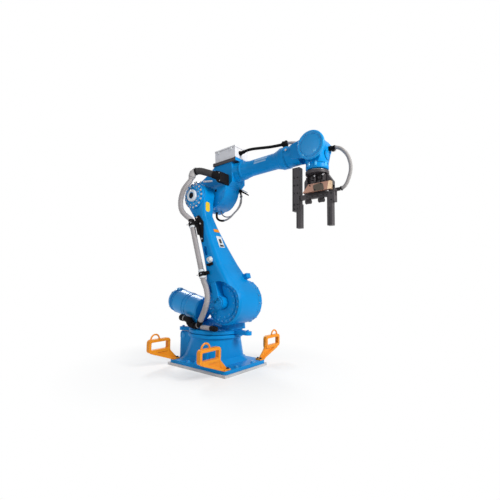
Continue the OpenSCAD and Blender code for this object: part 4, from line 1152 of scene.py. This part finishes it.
# %% Wrist screws and lugs
add_screws("wrist_ring_screws", "wrist", circle_xy(0, 0, -133, 90, 14, 6), UP, 5, "bolt_blue")
# The lugs are in the blue's lit colour, painted highlights on the wrist.
add_piece("wrist_lugs", "wrist", "lit_blue_paint",
    [(slab, rounded_outline(20, 34, 3), 8, (x, y, -158), (x, y, 0), 2)
     for x, y in ((-30, -92), (34, -92), (88, -28))])
add_piece("wrist_front_cover", "wrist", "blue_enamel",
    [(spin, [(46, 0), (46, 2), (42, 4), (0, 4)], 40, (95, 0, -70), FRONT)])
add_screws("front_cover_screws", "wrist", circle_yz(98, 0, -70, 36, 6), FRONT, 4, "bolt_blue")

# %% [markdown]
# ## Gripper
# The adapter and the jaw plates are blackened steel with socket screws. The drive block in the
# middle is copper brown; a dark bronze band across its middle is painted shade, and a bright
# brass strip at its front end is a painted highlight. Two small cylinders sit inside the jaws.

# %% Adapter screws and details
add_screws("flange_screws", "tool", circle_xy(0, 0, 9, 66, 8, 10), UP, 6)
add_screws("adapter_screws", "tool", [(x, -46, -44) for x in (-78, 0, 76)], SIDE, 6)
add_piece("valve_blocks", "tool", "black_steel",
    [(slab, rounded_outline(40, 34, 4), 16, (-30, -10, -52), SIDE, 3),
     (slab, rounded_outline(34, 26, 4), 22, (36, -10, -56), SIDE, 3),
     (slab, rounded_outline(52, 20, 3), 20, (16, -10, -92), SIDE, 3)])
add_piece("valve_fittings", "tool", "dark_boot",
    [(spin, [(8, 0), (8, 10), (5, 12), (0, 12)], 18, (x, -26, z), SIDE)
     for x, z in ((-30, -52), (36, -56))])

# %% Drive block: face, painted highlight at its front end, painted shade across its middle, and three screws
add_piece("drive_block_face", "tool", "copper_block",
    [(slab, [(-109, -181), (151, -181), (151, -111), (60, -111), (0, -122), (-51, -111)], 4,
     (0, -62, 0), SIDE, 2)])
# Painted highlight: bright brass strips at the front end of the drive block, where it catches the
# light.
add_piece("drive_block_painted_highlight", "tool", "brass_painted_highlight",
    [(slab, rounded_outline(30, 68, 2), 2, (150, -49, -146), FRONT, 0.8),
     (slab, [(120, -180), (151, -180), (151, -112), (132, -112)], 2.5, (0, -65, 0), SIDE, 1)])
# Painted shade: a dark bronze band where the middle of the drive block lies in shade.
add_piece("drive_block_painted_shade", "tool", "bronze_painted_shade",
    [(slab, [(0, -179), (94, -179), (84, -128), (58, -116), (6, -124), (-8, -128)], 1.6,
     (0, -65.8, 0), SIDE, 0.6)])
add_screws("drive_block_screws", "tool", [(66, -66, -124), (-36, -66, -126), (10, -66, -168)],
    SIDE, 6, "bolt_black")
add_piece("beam_rails", "tool", "dark_boot",
    [(slab, rounded_outline(200, 8, 2), 3, (24, -18, -196), SIDE, 1),
     (slab, rounded_outline(200, 5, 2), 3, (24, -18, -214), SIDE, 1)])
add_screws("beam_screws", "tool", [(x, -18, -205) for x in (-90, -40, 10, 60)], SIDE, 5,
    "bolt_black")

# %% Cylinders of the jaws
add_piece("cylinder_caps", "tool", "dark_boot",
    [(spin, [(18.5, low), (19.5, low + 2), (19.5, low + 7), (18.5, low + 9)], 28, (x, 0, -246),
     FRONT) for x in (-110, 12) for low in (2, 39)])
add_piece("cylinder_fittings", "tool", "dark_boot",
    [(spin, [(6, 0), (6, 8), (4.5, 9), (4.5, 15), (0, 15)], 14, (x, -17, -246), SIDE)
     for x in (-85, 37)])

# %% Screws and edges of the jaws
for jaw, xs, zs in (("left_jaw", (-176, -210), (-20, -90, -160, -262, -300)),
                    ("right_jaw", (139,), (-176, -206, -262))):
    add_screws(jaw + "_screws", jaw, [(x, -30, z) for x in xs for z in zs], SIDE, 6, "bolt_black")
add_piece("left_jaw_edges", "left_jaw", "bolt_black",
    [(slab, rounded_outline(5, 380, 2), 2, (-222, -30, -120), SIDE, 0.8),
     (slab, rounded_outline(4, 140, 1.5), 2, (-184, -24, -396), SIDE, 0.8)])
add_piece("right_jaw_edge", "right_jaw", "bolt_black",
    [(slab, rounded_outline(10, 150, 3), 2, (120, -24, -392), SIDE, 0.8)])
